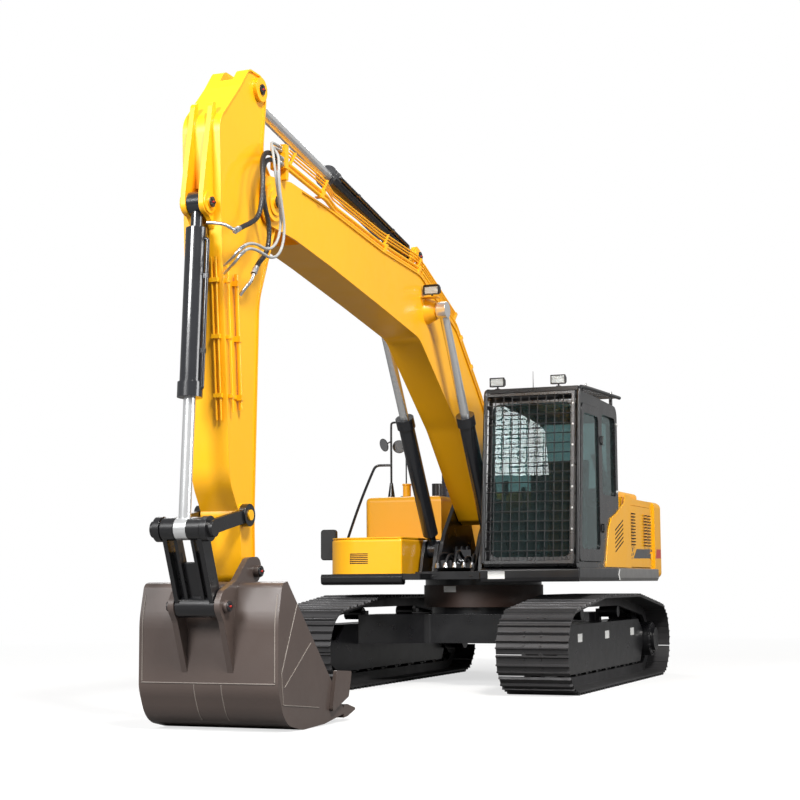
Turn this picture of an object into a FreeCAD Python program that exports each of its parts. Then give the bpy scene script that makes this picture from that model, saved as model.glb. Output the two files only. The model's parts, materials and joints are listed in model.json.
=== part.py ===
import FreeCAD, Part
import math
import os

# Crawler excavator, 22 t class, long carriage.  Millimetres.
# Frame: origin on the slew axis at ground level, +Z up, -Y forward to the bucket,
# +X the machine's left hand, where the cab is.

V = FreeCAD.Vector

# ---------------------------------------------------------------- driving sizes
SEAT = 0.3                # face to face gap of pieces that sit on one another
MOVE_GAP = 6.0            # gap between pieces that move past one another
PLATE = 6.0               # folded sheet of the housing
HINGE_PIN = 6.0
HINGE_EYE = 11.0
HINGE_HALF = 45.0         # half length of a hinge

# undercarriage
TRACK_GAUGE = 2380.0      # between the track centre lines
SHOE_WIDTH = 700.0
TUMBLER_SPAN = 3640.0     # idler axle to sprocket axle
PITCH_RADIUS = 322.0      # chain pitch line on the end wheels
SHOE_COUNT = 49
LINK_HALF = 47.0          # half the height of a chain link
SHOE_PLATE = 12.0
GROUSER = 24.0
RAIL_INNER = 62.0         # chain rails, from the track's centre line
RAIL_OUTER = 100.0
ARC_STEPS = 16            # straight steps of the chain round an end wheel
IDLER_FLANGE = 40.0
CARRIER_Y = 750.0         # carrier rollers, fore and aft of the middle
CARRIER_PITCH_Z = 847.0   # chain pitch line over them
CARRIER_RADIUS = 62.0
ROLLER_RADIUS = 82.0
ROLLER_COUNT = 8
ROLLER_GAP = 24.0         # end rollers to the end wheels
FRAME_HALF = 165.0        # track frame half width
FRAME_TOP = 640.0
FRAME_WALL = 25.0
SLEW_RADIUS = 640.0
SLEW_BOTTOM = 800.0
SLEW_TOP = 1030.0

# upper structure
DECK_BOTTOM = 1090.0
DECK_TOP = 1150.0
DECK_LEFT = 1430.0
DECK_RIGHT = -1360.0
DECK_FRONT = -1290.0
DECK_CORNER = 380.0
TAIL_RADIUS = 2750.0
TAIL_FRONT = 2030.0       # front face of the counterweight
HOUSE_TOP = 2010.0
HOUSE_FRONT = 560.0       # front wall of the engine bay

# cab
CAB_RIGHT = 500.0
CAB_LEFT = 1440.0
CAB_BOTTOM = 1190.0
CAB_TOP = 2950.0
CAB_FRONT_LOW = -1500.0
CAB_FRONT_HIGH = -1330.0
CAB_REAR = 250.0
CAB_WALL = 60.0
GLASS = 6.0
GUARD_LIFT = 55.0         # roof guard's bars over the roof
GUARD_TUBE = 20.0
GUARD_FRONT = 40.0
GUARD_BACK = 95.0         # front guard before the cab's front face
GUARD_BAR = 28.0
MESH_BAR = 7.0
MESH_COLUMNS = 10
MESH_ROWS = 17
DOOR_REAR = -500.0
DOOR_THICK = 40.0
DOOR_PROUD = 12.0         # door's outer face beyond the cab's side
DOOR_HINGE_X = CAB_LEFT + DOOR_PROUD + 12.0
DOOR_HINGE_Y = DOOR_REAR + 8.0

# front linkage pins, as (Y, Z)
BOOM_FOOT = (-150.0, 1820.0)
BOOM_NOSE = (-5620.0, 4000.0)
BUCKET_PIN = (-5950.0, 1150.0)
LINK_ON_ARM = (-6050.0, 1560.0)
LINK_PIN = (-6660.0, 1445.0)
LINK_ON_BUCKET = (-6430.0, 900.0)
BOOM_CYL_BASE = (-660.0, 1400.0)
BOOM_CYL_ROD = (-2120.0, 3680.0)
ARM_CYL_BASE = (-2200.0, 4210.0)
ARM_CYL_ROD = (-5800.0, 4850.0)
BUCKET_CYL_BASE = (-6500.0, 3820.0)

BOOM_HALF = 175.0
BOOM_FLANGE = 14.0        # side plates behind the edges of the top and bottom plates
BOOM_PLATE = 15.0
FORK_DEPTH = 540.0
NOSE_SEAM = -5060.0
BOOM_TOP = [(-540.0, 2990.0, 300.0), (-1290.0, 3620.0, 500.0), (-2330.0, 4010.0, 500.0),
            (-3290.0, 4060.0, 900.0), (-4490.0, 4190.0, 900.0), (-5270.0, 4240.0, 300.0)]
BOOM_FRONT = [(BOOM_NOSE[0] - 170.0, BOOM_NOSE[1] + 190.0, 150.0), (BOOM_NOSE[0] - 180.0, BOOM_NOSE[1] - 180.0, 150.0)]
BOOM_UNDER = [(-5200.0, 3790.0, 300.0), (-4490.0, 3700.0, 900.0), (-3400.0, 3540.0, 900.0),
              (-2380.0, 3380.0, 400.0), (-1260.0, 2600.0, 600.0)]
LAMP_Y = -2250.0
LAMP_Z = 3860.0
LAMP_WIDE = 160.0
LAMP_HIGH = 96.0

# oil pipes: lifts over the plate they run along, places along the boom's top from the foot
PIPE_RADIUS = 16.0
PIPE_LIFT = 10.0
PIPE_X = 152.0
PIPE_LIFTS = (21.0, 62.0)
THIN_PIPE_RADIUS = 8.0
THIN_PIPE_X = 134.0
THIN_LIFTS = (130.0, 160.0, 190.0)
PIPE_LINE = [(-360.0, 2802.0), (-540.0, 2990.0), (-1290.0, 3620.0), (-2330.0, 4010.0),
             (-3290.0, 4060.0), (-4490.0, 4190.0), (-5560.0, 4320.0)]
BACK_PIPES = (40.0, 1310.0)
FRONT_PIPES = (2299.0, 5519.0)
BACK_CLAMPS = (110.0, 640.0, 1050.0)
FRONT_CLAMPS = (2371.0, 3242.0)
STEP_OUT = (-4340.0, -4640.0)   # Y where the pipes step outwards
PIPE_STEP = 48.0
THIN_PIPE_STEP = 60.0
STEP_CLAMP = 4771.0
NOSE_STAND = -5440.0
SIDE_PIPE_RADIUS = 14.0

ARM_HALF = 155.0
ARM_FLANGE = 12.0
ARM_PLATE = 14.0
ARM_FACE = [(-6430.0, 3800.0, 900.0), (-6400.0, 3300.0, 900.0), (-6270.0, 1800.0, 400.0)]
FACE_PIPE_X = (76.0, 112.0)
FACE_CLAMPS = (2420.0, 2850.0, 3260.0)
BOOM_CYL_X = 323.0
EYE_HALF = 48.0           # half width of a cylinder's eye
NECK = 215.0              # from a base pin to where the barrel starts
BUCKET_HALF = 563.0
BUCKET_WALL = 22.0
EAR_INNER = 163.0         # inner face of the bucket's ears
EAR_THICK = 45.0
LINK_INNER = 161.0
LINK_THICK = 38.0


# ---------------------------------------------------------------- shape helpers
def corner_edges(points, place):
    """Closed edges through points (u, v) or (u, v, radius); place maps (u, v) to a vector."""
    count = len(points)
    starts = []
    ends = []
    mids = []
    for i in range(count):
        u, v = points[i][0], points[i][1]
        radius = points[i][2] if len(points[i]) > 2 else 0.0
        if radius <= 0.0:
            starts.append((u, v))
            ends.append((u, v))
            mids.append(None)
            continue
        pu, pv = points[i - 1][0], points[i - 1][1]
        nu, nv = points[(i + 1) % count][0], points[(i + 1) % count][1]
        a = math.hypot(pu - u, pv - v)
        b = math.hypot(nu - u, nv - v)
        ax, ay = (pu - u) / a, (pv - v) / a
        bx, by = (nu - u) / b, (nv - v) / b
        half = math.acos(max(-1.0, min(1.0, ax * bx + ay * by))) / 2.0
        back = min(radius / math.tan(half), 0.49 * a, 0.49 * b)
        true_radius = back * math.tan(half)
        starts.append((u + ax * back, v + ay * back))
        ends.append((u + bx * back, v + by * back))
        mx, my = ax + bx, ay + by
        m = math.hypot(mx, my)
        reach = true_radius / math.sin(half) - true_radius
        mids.append((u + mx / m * reach, v + my / m * reach))
    edges = []
    for i in range(count):
        if mids[i] is not None:
            edges.append(Part.Arc(place(*starts[i]), place(*mids[i]), place(*ends[i])).toShape())
        following = starts[(i + 1) % count]
        if math.hypot(following[0] - ends[i][0], following[1] - ends[i][1]) > 1e-6:
            edges.append(Part.LineSegment(place(*ends[i]), place(*following)).toShape())
    return edges


def inset_outline(points, distance):
    """Closed outline (u, v, radius) moved inwards; its rounded corners stay concentric."""
    count = len(points)
    twice_area = 0.0
    for i in range(count):
        a, b = points[i], points[(i + 1) % count]
        twice_area += a[0] * b[1] - b[0] * a[1]
    turn = 1.0 if twice_area > 0.0 else -1.0
    moved = []
    for i in range(count):
        before, here, after = points[i - 1], points[i], points[(i + 1) % count]
        normals = []
        for a, b in ((before, here), (here, after)):
            du, dv = b[0] - a[0], b[1] - a[1]
            length = math.hypot(du, dv)
            normals.append((-dv / length * turn, du / length * turn))
        (au, av), (bu, bv) = normals
        share = distance / (1.0 + au * bu + av * bv)
        corner_u = here[0] + (au + bu) * share
        corner_v = here[1] + (av + bv) * share
        radius = here[2] if len(here) > 2 else 0.0
        convex = (au * bv - av * bu) * turn > 0.0
        if radius > 0.0:
            radius = max(radius - distance, 1.0) if convex else radius + distance
        moved.append((corner_u, corner_v, radius))
    return moved


def slab_x(points, x0, x1):
    """Side outline in (Y, Z), thick from x0 to x1."""
    wire = Part.Wire(corner_edges(points, lambda u, v: V(x0, u, v)))
    return Part.Face(wire).extrude(V(x1 - x0, 0, 0))


def slab_y(points, y0, y1):
    """Front outline in (X, Z), thick from y0 to y1."""
    wire = Part.Wire(corner_edges(points, lambda u, v: V(u, y0, v)))
    return Part.Face(wire).extrude(V(0, y1 - y0, 0))


def slab_z(points, z0, z1):
    """Plan outline in (X, Y), thick from z0 to z1."""
    wire = Part.Wire(corner_edges(points, lambda u, v: V(u, v, z0)))
    return Part.Face(wire).extrude(V(0, 0, z1 - z0))


def box(x0, x1, y0, y1, z0, z1):
    return Part.makeBox(x1 - x0, y1 - y0, z1 - z0, V(x0, y0, z0))


def span_x(shape_of, side, near, far):
    """Call shape_of(x0, x1) for a stretch beside the middle plane, x0 below x1."""
    ends = sorted((side * near, side * far))
    return shape_of(ends[0], ends[1])


def welded_box(outline, half, flange, plate):
    """Box beam: side plates set in behind the edges of the plates round them."""
    body = slab_x(outline, -half, half)
    panel = inset_outline(outline, plate)
    for side in (-1, 1):
        body = body.cut(slab_x(panel, side * (half - flange), side * (half + 50.0)))
    return body


def rod_x(radius, x0, x1, pin):
    """Round bar along X through the pin (Y, Z)."""
    return Part.makeCylinder(radius, x1 - x0, V(x0, pin[0], pin[1]), V(1, 0, 0))


def rod_z(radius, x, y, z0, z1):
    return Part.makeCylinder(radius, z1 - z0, V(x, y, z0), V(0, 0, 1))


def fuse(shapes):
    whole = shapes[0]
    if len(shapes) > 1:
        whole = shapes[0].multiFuse(shapes[1:])
    return whole.removeSplitter()


def group(shapes):
    return Part.makeCompound(shapes)


def mirror_x(shape):
    return shape.mirror(V(0, 0, 0), V(1, 0, 0))


def both_sides(shape):
    return group([shape, mirror_x(shape)])


def along(a, b, distance):
    """Point on the line from pin a to pin b."""
    length = math.hypot(b[0] - a[0], b[1] - a[1])
    k = distance / length
    return (a[0] + (b[0] - a[0]) * k, a[1] + (b[1] - a[1]) * k)


def bar_between(radius, x, a, b):
    """Round bar at x from pin place a to pin place b."""
    start = V(x, a[0], a[1])
    way = V(0, b[0] - a[0], b[1] - a[1])
    return Part.makeCylinder(radius, way.Length, start, way)


def rounded_path(points, bend):
    """Wire of straight runs joined by tangent arcs."""
    edges = []
    last = V(*points[0])
    for i in range(1, len(points) - 1):
        here = V(*points[i])
        back = V(*points[i - 1]) - here
        ahead = V(*points[i + 1]) - here
        half = back.getAngle(ahead) / 2.0
        cut = min(bend / math.tan(half), 0.45 * back.Length, 0.45 * ahead.Length)
        radius = cut * math.tan(half)
        back.normalize()
        ahead.normalize()
        middle = back + ahead
        middle.normalize()
        first = here + back * cut
        final = here + ahead * cut
        centre = here + middle * (radius / math.sin(half))
        arc_mid = centre - middle * radius
        edges.append(Part.LineSegment(last, first).toShape())
        edges.append(Part.Arc(first, arc_mid, final).toShape())
        last = final
    edges.append(Part.LineSegment(last, V(*points[-1])).toShape())
    return Part.Wire(edges)


def tube_path(points, radius, bend):
    """Solid round bar along a bent path."""
    path = rounded_path(points, bend)
    start = V(*points[0])
    way = V(*points[1]) - start
    ring = Part.Wire(Part.makeCircle(radius, start, way))
    return path.makePipeShell([ring], True, True)


def drill_x(shape, radius, pin, reach=2000.0):
    return shape.cut(rod_x(radius, -reach, reach, pin))


def upright_hinge(x, y, z, wall, leaf):
    """Fixed and moving half of a small hinge about +Z.  wall and leaf are boxes
    (x0, x1, y0, y1) that reach from the axis to what each half is fixed to."""
    pin = rod_z(HINGE_PIN, x, y, z - HINGE_HALF, z + HINGE_HALF)
    lug = HINGE_HALF - 12.0
    fixed = [pin]
    for a, b in ((-HINGE_HALF, -lug), (lug, HINGE_HALF)):
        fixed.append(rod_z(HINGE_EYE, x, y, z + a, z + b))
        fixed.append(box(*wall, z + a, z + b))
    reach = lug - 1.0
    sleeve = rod_z(HINGE_EYE, x, y, z - reach, z + reach)
    arm_plate = box(*leaf, z - reach, z + reach)
    moving = fuse([sleeve, arm_plate]).cut(rod_z(HINGE_PIN + 0.05, x, y, z - 500.0, z + 500.0))
    return fuse(fixed), moving


# ---------------------------------------------------------------- undercarriage
def pitch_loop():
    """Pitch line of the chain as straight runs and arcs, starting at the bottom front,
    run towards the rear: a list of (length, point function)."""
    half = TUMBLER_SPAN / 2.0
    low = pitch_bottom()
    centre_z = low + PITCH_RADIUS
    rise = CARRIER_PITCH_Z - centre_z
    run = half - CARRIER_Y
    reach = math.sqrt(run * run + rise * rise - PITCH_RADIUS * PITCH_RADIUS)
    rear_end = math.pi / 2.0 - chain_slope()
    pieces = []
    pieces.append((TUMBLER_SPAN, lambda s: (-half + s, low, 0.0, -1.0)))
    sweep = math.pi / 2.0 + rear_end

    def rear(s):
        angle = -math.pi / 2.0 + s / PITCH_RADIUS
        return (half + PITCH_RADIUS * math.cos(angle), centre_z + PITCH_RADIUS * math.sin(angle),
                math.cos(angle), math.sin(angle))
    pieces.append((PITCH_RADIUS * sweep, rear))
    up_n = (math.cos(rear_end), math.sin(rear_end))
    start = (half + PITCH_RADIUS * up_n[0], centre_z + PITCH_RADIUS * up_n[1])
    way = (-up_n[1], up_n[0])
    pieces.append((reach, lambda s: (start[0] + way[0] * s, start[1] + way[1] * s, up_n[0], up_n[1])))
    pieces.append((2.0 * CARRIER_Y, lambda s: (CARRIER_Y - s, CARRIER_PITCH_Z, 0.0, 1.0)))

    def down(s):
        y, z, ny, nz = pieces[2][1](reach - s)
        return (-y, z, -ny, nz)
    pieces.append((reach, down))

    def front(s):
        y, z, ny, nz = rear(PITCH_RADIUS * sweep - s)
        return (-y, z, -ny, nz)
    pieces.append((PITCH_RADIUS * sweep, front))
    return pieces


def chain_slope():
    """Angle of the chain between an end wheel and a carrier roller."""
    run = TUMBLER_SPAN / 2.0 - CARRIER_Y
    rise = CARRIER_PITCH_Z - wheel_centre_z()
    leave = math.atan2(rise, run) + math.acos(PITCH_RADIUS / math.hypot(run, rise))
    return leave - math.pi / 2.0


def carrier_z():
    """Axle height of the carrier rollers under the chain's rails."""
    return CARRIER_PITCH_Z - LINK_HALF - (CARRIER_RADIUS + 2.0 * SEAT) / math.cos(chain_slope())


def pitch_bottom():
    return LINK_HALF + SHOE_PLATE + GROUSER


def loop_point(pieces, s):
    total = sum(piece[0] for piece in pieces)
    s = s % total
    for length, place in pieces:
        if s <= length:
            return place(s)
        s -= length
    return pieces[0][1](0.0)


def shoe_profile(pitch):
    """One shoe's outside, along the pitch and out from the chain."""
    base = LINK_HALF + SHOE_PLATE
    tip = base + GROUSER
    gap = 7.0
    wide = 11.0
    slant = 9.0
    end = pitch - gap
    middle = (gap + end) / 2.0
    return [(gap, base), (gap, tip), (gap + wide, tip), (gap + wide + slant, base),
            (middle - slant - wide / 2, base), (middle, tip), (middle + slant + wide / 2, base),
            (end - wide - slant, base), (end - wide, tip), (end, tip), (end, base),
            (pitch, LINK_HALF + 2.0)]


def loop_wire(pieces, offset, x0):
    """Closed line beside the pitch line, its arcs in short straight steps."""
    points = []
    for length, place in pieces:
        straight = place(0.0)[2:] == place(length)[2:]
        parts = 1 if straight else ARC_STEPS
        for k in range(parts):
            y, z, ny, nz = place(length * k / parts)
            points.append(V(x0, y + ny * offset, z + nz * offset))
    return Part.makePolygon(points + [points[0]])


def band(pieces, inner, outer, x0, x1):
    """Belt between two offsets of the pitch line."""
    whole = Part.Face(loop_wire(pieces, outer, x0)).extrude(V(x1 - x0, 0, 0))
    hollow = Part.Face(loop_wire(pieces, inner, x0)).extrude(V(x1 - x0, 0, 0))
    return whole.cut(hollow)


def track(side):
    pieces = pitch_loop()
    total = sum(piece[0] for piece in pieces)
    pitch = total / SHOE_COUNT
    outline = []
    for i in range(SHOE_COUNT):
        a = loop_point(pieces, i * pitch)
        b = loop_point(pieces, (i + 1) * pitch)
        length = math.hypot(b[0] - a[0], b[1] - a[1])
        ty, tz = (b[0] - a[0]) / length, (b[1] - a[1]) / length
        ny, nz = tz, -ty
        for u, v in shoe_profile(pitch):
            u = u * length / pitch
            outline.append((a[0] + ty * u + ny * v, a[1] + tz * u + nz * v))
    x0 = side * TRACK_GAUGE / 2.0 - SHOE_WIDTH / 2.0
    points = [V(x0, y, z) for y, z in outline]
    outer = Part.Face(Part.makePolygon(points + [points[0]])).extrude(V(SHOE_WIDTH, 0, 0))
    inside = Part.Face(loop_wire(pieces, LINK_HALF - 1.0, x0)).extrude(V(SHOE_WIDTH, 0, 0))
    shoes = outer.cut(inside)
    centre = side * TRACK_GAUGE / 2.0
    rails = [band(pieces, -LINK_HALF, LINK_HALF, centre + RAIL_INNER, centre + RAIL_OUTER),
             band(pieces, -LINK_HALF, LINK_HALF, centre - RAIL_OUTER, centre - RAIL_INNER)]
    return shoes.multiFuse(rails)


def wheel_centre_z():
    return pitch_bottom() + PITCH_RADIUS


def idler(side):
    x = side * TRACK_GAUGE / 2.0
    tread = idler_tread()
    pin = (-TUMBLER_SPAN / 2.0, wheel_centre_z())
    wheel = rod_x(tread, x - RAIL_OUTER + 2, x + RAIL_OUTER - 2, pin)
    flange = rod_x(tread + IDLER_FLANGE, x - RAIL_INNER + 8, x + RAIL_INNER - 8, pin)
    axle = rod_x(45.0, x - FRAME_HALF + FRAME_WALL + SEAT, x + FRAME_HALF - FRAME_WALL - SEAT, pin)
    return fuse([wheel, flange, axle])


def sprocket(side):
    x = side * TRACK_GAUGE / 2.0
    pin = (TUMBLER_SPAN / 2.0, wheel_centre_z())
    teeth = 21
    root = PITCH_RADIUS - 62.0
    tip = PITCH_RADIUS - 22.0
    points = []
    for i in range(teeth):
        for share, radius in ((-0.32, root), (-0.16, tip), (0.16, tip), (0.32, root)):
            angle = 2.0 * math.pi * (i + share) / teeth
            points.append((pin[0] + radius * math.cos(angle), pin[1] + radius * math.sin(angle)))
    ring = slab_x(points, x - 32.0, x + 32.0)
    inner = x - side * FRAME_HALF
    outer = x + side * 230.0
    hub = rod_x(190.0, min(inner, outer), max(inner, outer), pin)
    cap = rod_x(130.0, min(outer, outer + side * 45.0), max(outer, outer + side * 45.0), pin)
    return fuse([ring, hub, cap])


def idler_tread():
    """Radius of an idler's tread, just inside the rails' straight steps."""
    return (PITCH_RADIUS - LINK_HALF) * math.cos(math.pi / 2.0 / ARC_STEPS) - 3.0 * SEAT


def lower_rollers(side):
    x = side * TRACK_GAUGE / 2.0
    rollers = []
    inner_rail = pitch_bottom() + LINK_HALF
    span = TUMBLER_SPAN - 2.0 * (idler_tread() + IDLER_FLANGE + ROLLER_RADIUS + ROLLER_GAP)
    for i in range(ROLLER_COUNT):
        y = span * (i / (ROLLER_COUNT - 1) - 0.5)
        pin = (y, inner_rail + ROLLER_RADIUS + SEAT)
        reach = FRAME_HALF - FRAME_WALL - SEAT
        tread = rod_x(ROLLER_RADIUS, x - RAIL_OUTER, x + RAIL_OUTER, pin)
        middle = rod_x(ROLLER_RADIUS - 20.0, x - reach, x + reach, pin)
        rollers.append(fuse([tread, middle]))
    return rollers


def upper_rollers(side):
    x = side * TRACK_GAUGE / 2.0
    z = carrier_z()
    rollers = []
    for y in (-CARRIER_Y, CARRIER_Y):
        barrel = rod_x(CARRIER_RADIUS, x - RAIL_OUTER, x + RAIL_OUTER, (y, z))
        rollers.append(barrel)
    return rollers


def track_frame(side):
    x = side * TRACK_GAUGE / 2.0
    half = TUMBLER_SPAN / 2.0
    wheel_z = wheel_centre_z()
    roller_z = pitch_bottom() + LINK_HALF + ROLLER_RADIUS + SEAT
    cheek = [(-half - 90.0, wheel_z - 80.0, 40.0), (-half + 260.0, roller_z - 45.0, 60.0),
             (half - 330.0, roller_z - 45.0, 60.0), (half - 210.0, wheel_z - 60.0, 30.0),
             (half - 210.0, wheel_z + 120.0, 30.0), (half - 420.0, FRAME_TOP, 60.0),
             (-half + 420.0, FRAME_TOP, 60.0), (-half + 230.0, wheel_z + 85.0, 60.0),
             (-half - 90.0, wheel_z + 80.0, 40.0)]
    cheeks = [slab_x(cheek, x - FRAME_HALF, x - FRAME_HALF + FRAME_WALL),
              slab_x(cheek, x + FRAME_HALF - FRAME_WALL, x + FRAME_HALF)]
    box_low = roller_z + ROLLER_RADIUS + 12.0
    core = [(-half + 360.0, box_low), (half - 340.0, box_low), (half - 340.0, wheel_z + 100.0, 30.0),
            (half - 430.0, FRAME_TOP - 2.0, 60.0), (-half + 430.0, FRAME_TOP - 2.0, 60.0),
            (-half + 360.0, wheel_z + 120.0, 30.0)]
    body = slab_x(core, x - FRAME_HALF + 1.0, x + FRAME_HALF - 1.0)
    stands = []
    for y in (-CARRIER_Y, CARRIER_Y):
        inner = x - side * (RAIL_OUTER + SEAT)
        outer = x - side * (RAIL_OUTER + 40.0)
        stands.append(box(min(inner, outer), max(inner, outer), y - 45.0, y + 45.0,
                          FRAME_TOP - 5.0, carrier_z() + 30.0))
    inner_end = x - side * FRAME_HALF
    drive_plate = [(half - 300.0, wheel_z - 110.0, 40.0), (half + 60.0, wheel_z - 150.0, 60.0),
                   (half + 150.0, wheel_z, 60.0), (half + 60.0, wheel_z + 150.0, 60.0),
                   (half - 300.0, wheel_z + 130.0, 40.0)]
    near = inner_end - side * SEAT
    far = inner_end - side * 30.0
    plate = slab_x(drive_plate, min(near, far), max(near, far))
    joint = box(min(far, inner_end + side * 5.0), max(far, inner_end + side * 5.0),
                half - 300.0, half - 220.0, wheel_z - 60.0, wheel_z + 100.0)
    motor = rod_x(125.0, min(far, far - side * 150.0), max(far, far - side * 150.0), (half, wheel_z))
    return fuse(cheeks + [body] + stands + [plate, joint, motor])


def centre_frame():
    """X shaped carriage frame with four box legs and the ring seat."""
    inner = TRACK_GAUGE / 2.0 - FRAME_HALF - SEAT
    leg_out = 1050.0
    leg_in = 520.0
    waist = 620.0
    plan = []
    for sx, sy in ((1, -1), (1, 1), (-1, 1), (-1, -1)):
        corner = [(sx * inner, sy * leg_in), (sx * inner, sy * leg_out), (sx * 420.0, sy * waist, 120.0)]
        if sx * sy < 0:
            corner = corner[::-1]
            corner = [corner[0], corner[1], corner[2]]
        plan.append(corner)
    outline = plan[0] + [(560.0, 0.0, 160.0)] + plan[1] + plan[2] + [(-560.0, 0.0, 160.0)] + plan[3]
    low = slab_z(outline, 430.0, 730.0)
    tower = Part.makeCylinder(560.0, SLEW_BOTTOM - 700.0, V(0, 0, 700.0))
    cavity = Part.makeCylinder(260.0, 500.0, V(0, 0, 400.0))
    return fuse([low, tower]).cut(cavity)


def slew_ring():
    ring = Part.makeCylinder(SLEW_RADIUS, SLEW_TOP - SLEW_BOTTOM, V(0, 0, SLEW_BOTTOM + SEAT))
    hole = Part.makeCylinder(420.0, 600.0, V(0, 0, SLEW_BOTTOM - 100.0))
    return ring.cut(hole)


# ---------------------------------------------------------------- upper structure
def deck_plan(inset=0.0):
    left = DECK_LEFT - inset
    right = DECK_RIGHT + inset
    front = DECK_FRONT + inset
    return [(-240.0, front, 20.0), (-240.0, front + 300.0, 60.0), (430.0, front + 300.0, 60.0),
            (430.0, CAB_FRONT_LOW + 20.0, 60.0), (left, CAB_FRONT_LOW + 20.0, 120.0),
            (left, TAIL_FRONT - SEAT), (right, TAIL_FRONT - SEAT),
            (right, front, DECK_CORNER)]


def upper_frame():
    deck = slab_z(deck_plan(), DECK_BOTTOM, DECK_TOP)
    ring_top = Part.makeCylinder(SLEW_RADIUS - 15.0, DECK_BOTTOM - SLEW_TOP + 5.0,
                                 V(0, 0, SLEW_TOP + 2 * SEAT))
    bracket = [(-1010.0, DECK_TOP - 30.0), (HOUSE_FRONT - 30.0, DECK_TOP - 30.0),
               (HOUSE_FRONT - 30.0, 1330.0, 60.0), (300.0, 1420.0, 200.0), (BOOM_FOOT[0] + 160.0, BOOM_FOOT[1] + 120.0, 120.0),
               (BOOM_FOOT[0] - 150.0, BOOM_FOOT[1] + 130.0, 120.0), (-700.0, 1560.0, 100.0),
               (-840.0, 1330.0, 60.0)]
    inner = BOOM_HALF + MOVE_GAP
    plates = []
    for side in (-1, 1):
        plate = slab_x(bracket, side * inner, side * (inner + 40.0))
        plate = fuse([plate, rod_x(120.0, min(side * inner, side * (inner + 60.0)),
                                   max(side * inner, side * (inner + 60.0)), BOOM_FOOT)])
        plates.append(plate)
    foot_pins = [rod_x(45.0, -inner - 75.0, inner + 75.0, BOOM_FOOT)]
    eye_in = BOOM_CYL_X - EYE_HALF - MOVE_GAP
    eye_out = BOOM_CYL_X + EYE_HALF + MOVE_GAP
    ears = []
    ear = [(-480.0, DECK_TOP - 30.0), (-480.0, 1330.0, 60.0), (BOOM_CYL_BASE[0] + 60.0, 1500.0, 60.0),
           (BOOM_CYL_BASE[0] - 100.0, 1500.0, 80.0), (-830.0, 1330.0, 60.0), (-900.0, DECK_TOP - 30.0)]
    for side in (-1, 1):
        for a, b in ((eye_in - 40.0, eye_in), (eye_out, eye_out + 30.0)):
            ears.append(slab_x(ear, side * a, side * b))
        ears.append(rod_x(40.0, min(side * (eye_in - 30.0), side * (eye_out + 45.0)),
                          max(side * (eye_in - 30.0), side * (eye_out + 45.0)), BOOM_CYL_BASE))
    cross = box(-eye_out - 30.0, eye_out + 30.0, -1000.0, -480.0, DECK_BOTTOM, DECK_TOP + 20.0)
    frame = fuse([deck, ring_top, cross] + plates + foot_pins + ears)
    return frame


def tail_plan(inset=0.0):
    """Counterweight outline: round tail about the slew axis."""
    radius = TAIL_RADIUS - inset
    left = DECK_LEFT - inset
    right = DECK_RIGHT + inset
    corner_left = math.sqrt(radius * radius - left * left)
    corner_right = math.sqrt(radius * radius - right * right)
    place = lambda u, v: V(u, v, 0)
    a = place(left, TAIL_FRONT)
    b = place(left, corner_left)
    c = place(0.0, radius)
    d = place(right, corner_right)
    e = place(right, TAIL_FRONT)
    edges = [Part.LineSegment(a, b).toShape(), Part.Arc(b, c, d).toShape(),
             Part.LineSegment(d, e).toShape(), Part.LineSegment(e, a).toShape()]
    return Part.Face(Part.Wire(edges))


def counterweight():
    face = tail_plan()
    face.translate(V(0, 0, DECK_BOTTOM))
    weight = face.extrude(V(0, 0, HOUSE_TOP - DECK_BOTTOM - 30.0))
    outer = [edge for edge in weight.Edges
             if edge.BoundBox.ZLength < 1.0 and edge.CenterOfMass.y > TAIL_FRONT + 60.0]
    return weight.makeFillet(70.0, outer)


def engine_block():
    return box(-420.0, 620.0, 1080.0, 1820.0, DECK_TOP + SEAT, DECK_TOP + 720.0)


def tank(x0, x1, y0, y1, z1, radius=60.0):
    body = box(x0, x1, y0, y1, DECK_TOP + SEAT, z1)
    uprights = [e for e in body.Edges if e.BoundBox.ZLength > 100.0 and e.CenterOfMass.x < x0 + 10.0]
    tops = [e for e in body.Edges if e.BoundBox.ZLength < 1.0 and e.CenterOfMass.z > z1 - 1.0]
    return body.makeFillet(radius, uprights + tops)


TANK_LEFT = -440.0
BOX_LEFT = -450.0
FUEL_FRONT = -100.0
FUEL_REAR = 330.0
HYDRAULIC_REAR = 880.0


def fuel_tank():
    return tank(DECK_RIGHT + 20.0, TANK_LEFT, FUEL_FRONT, FUEL_REAR, HOUSE_TOP - 10.0)


def hydraulic_tank():
    return tank(DECK_RIGHT + 20.0, TANK_LEFT, FUEL_REAR + 5.0, HYDRAULIC_REAR, HOUSE_TOP - 10.0, 40.0)


def tool_box():
    inset = 12.0
    plan = [(BOX_LEFT, DECK_FRONT + inset, 20.0), (BOX_LEFT, FUEL_FRONT - 5.0, 10.0),
            (DECK_RIGHT + inset, FUEL_FRONT - 5.0, 10.0), (DECK_RIGHT + inset, DECK_FRONT + inset, DECK_CORNER)]
    body = slab_z(plan, DECK_TOP + SEAT, 1510.0)
    tops = [e for e in body.Edges if e.BoundBox.ZLength < 1.0 and e.CenterOfMass.z > 1509.0]
    return body.makeFillet(30.0, tops)


BAY_LEFT = DECK_LEFT - 30.0
BAY_RIGHT = DECK_RIGHT + 20.0
DOOR_SIDE_FRONT = 760.0
DOOR_SIDE_REAR = 1880.0
DOOR_SIDE_LOW = DECK_TOP + 60.0
DOOR_SIDE_HIGH = HOUSE_TOP - 110.0
HOOD_FRONT = 760.0
HOOD_REAR = 1960.0


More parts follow.
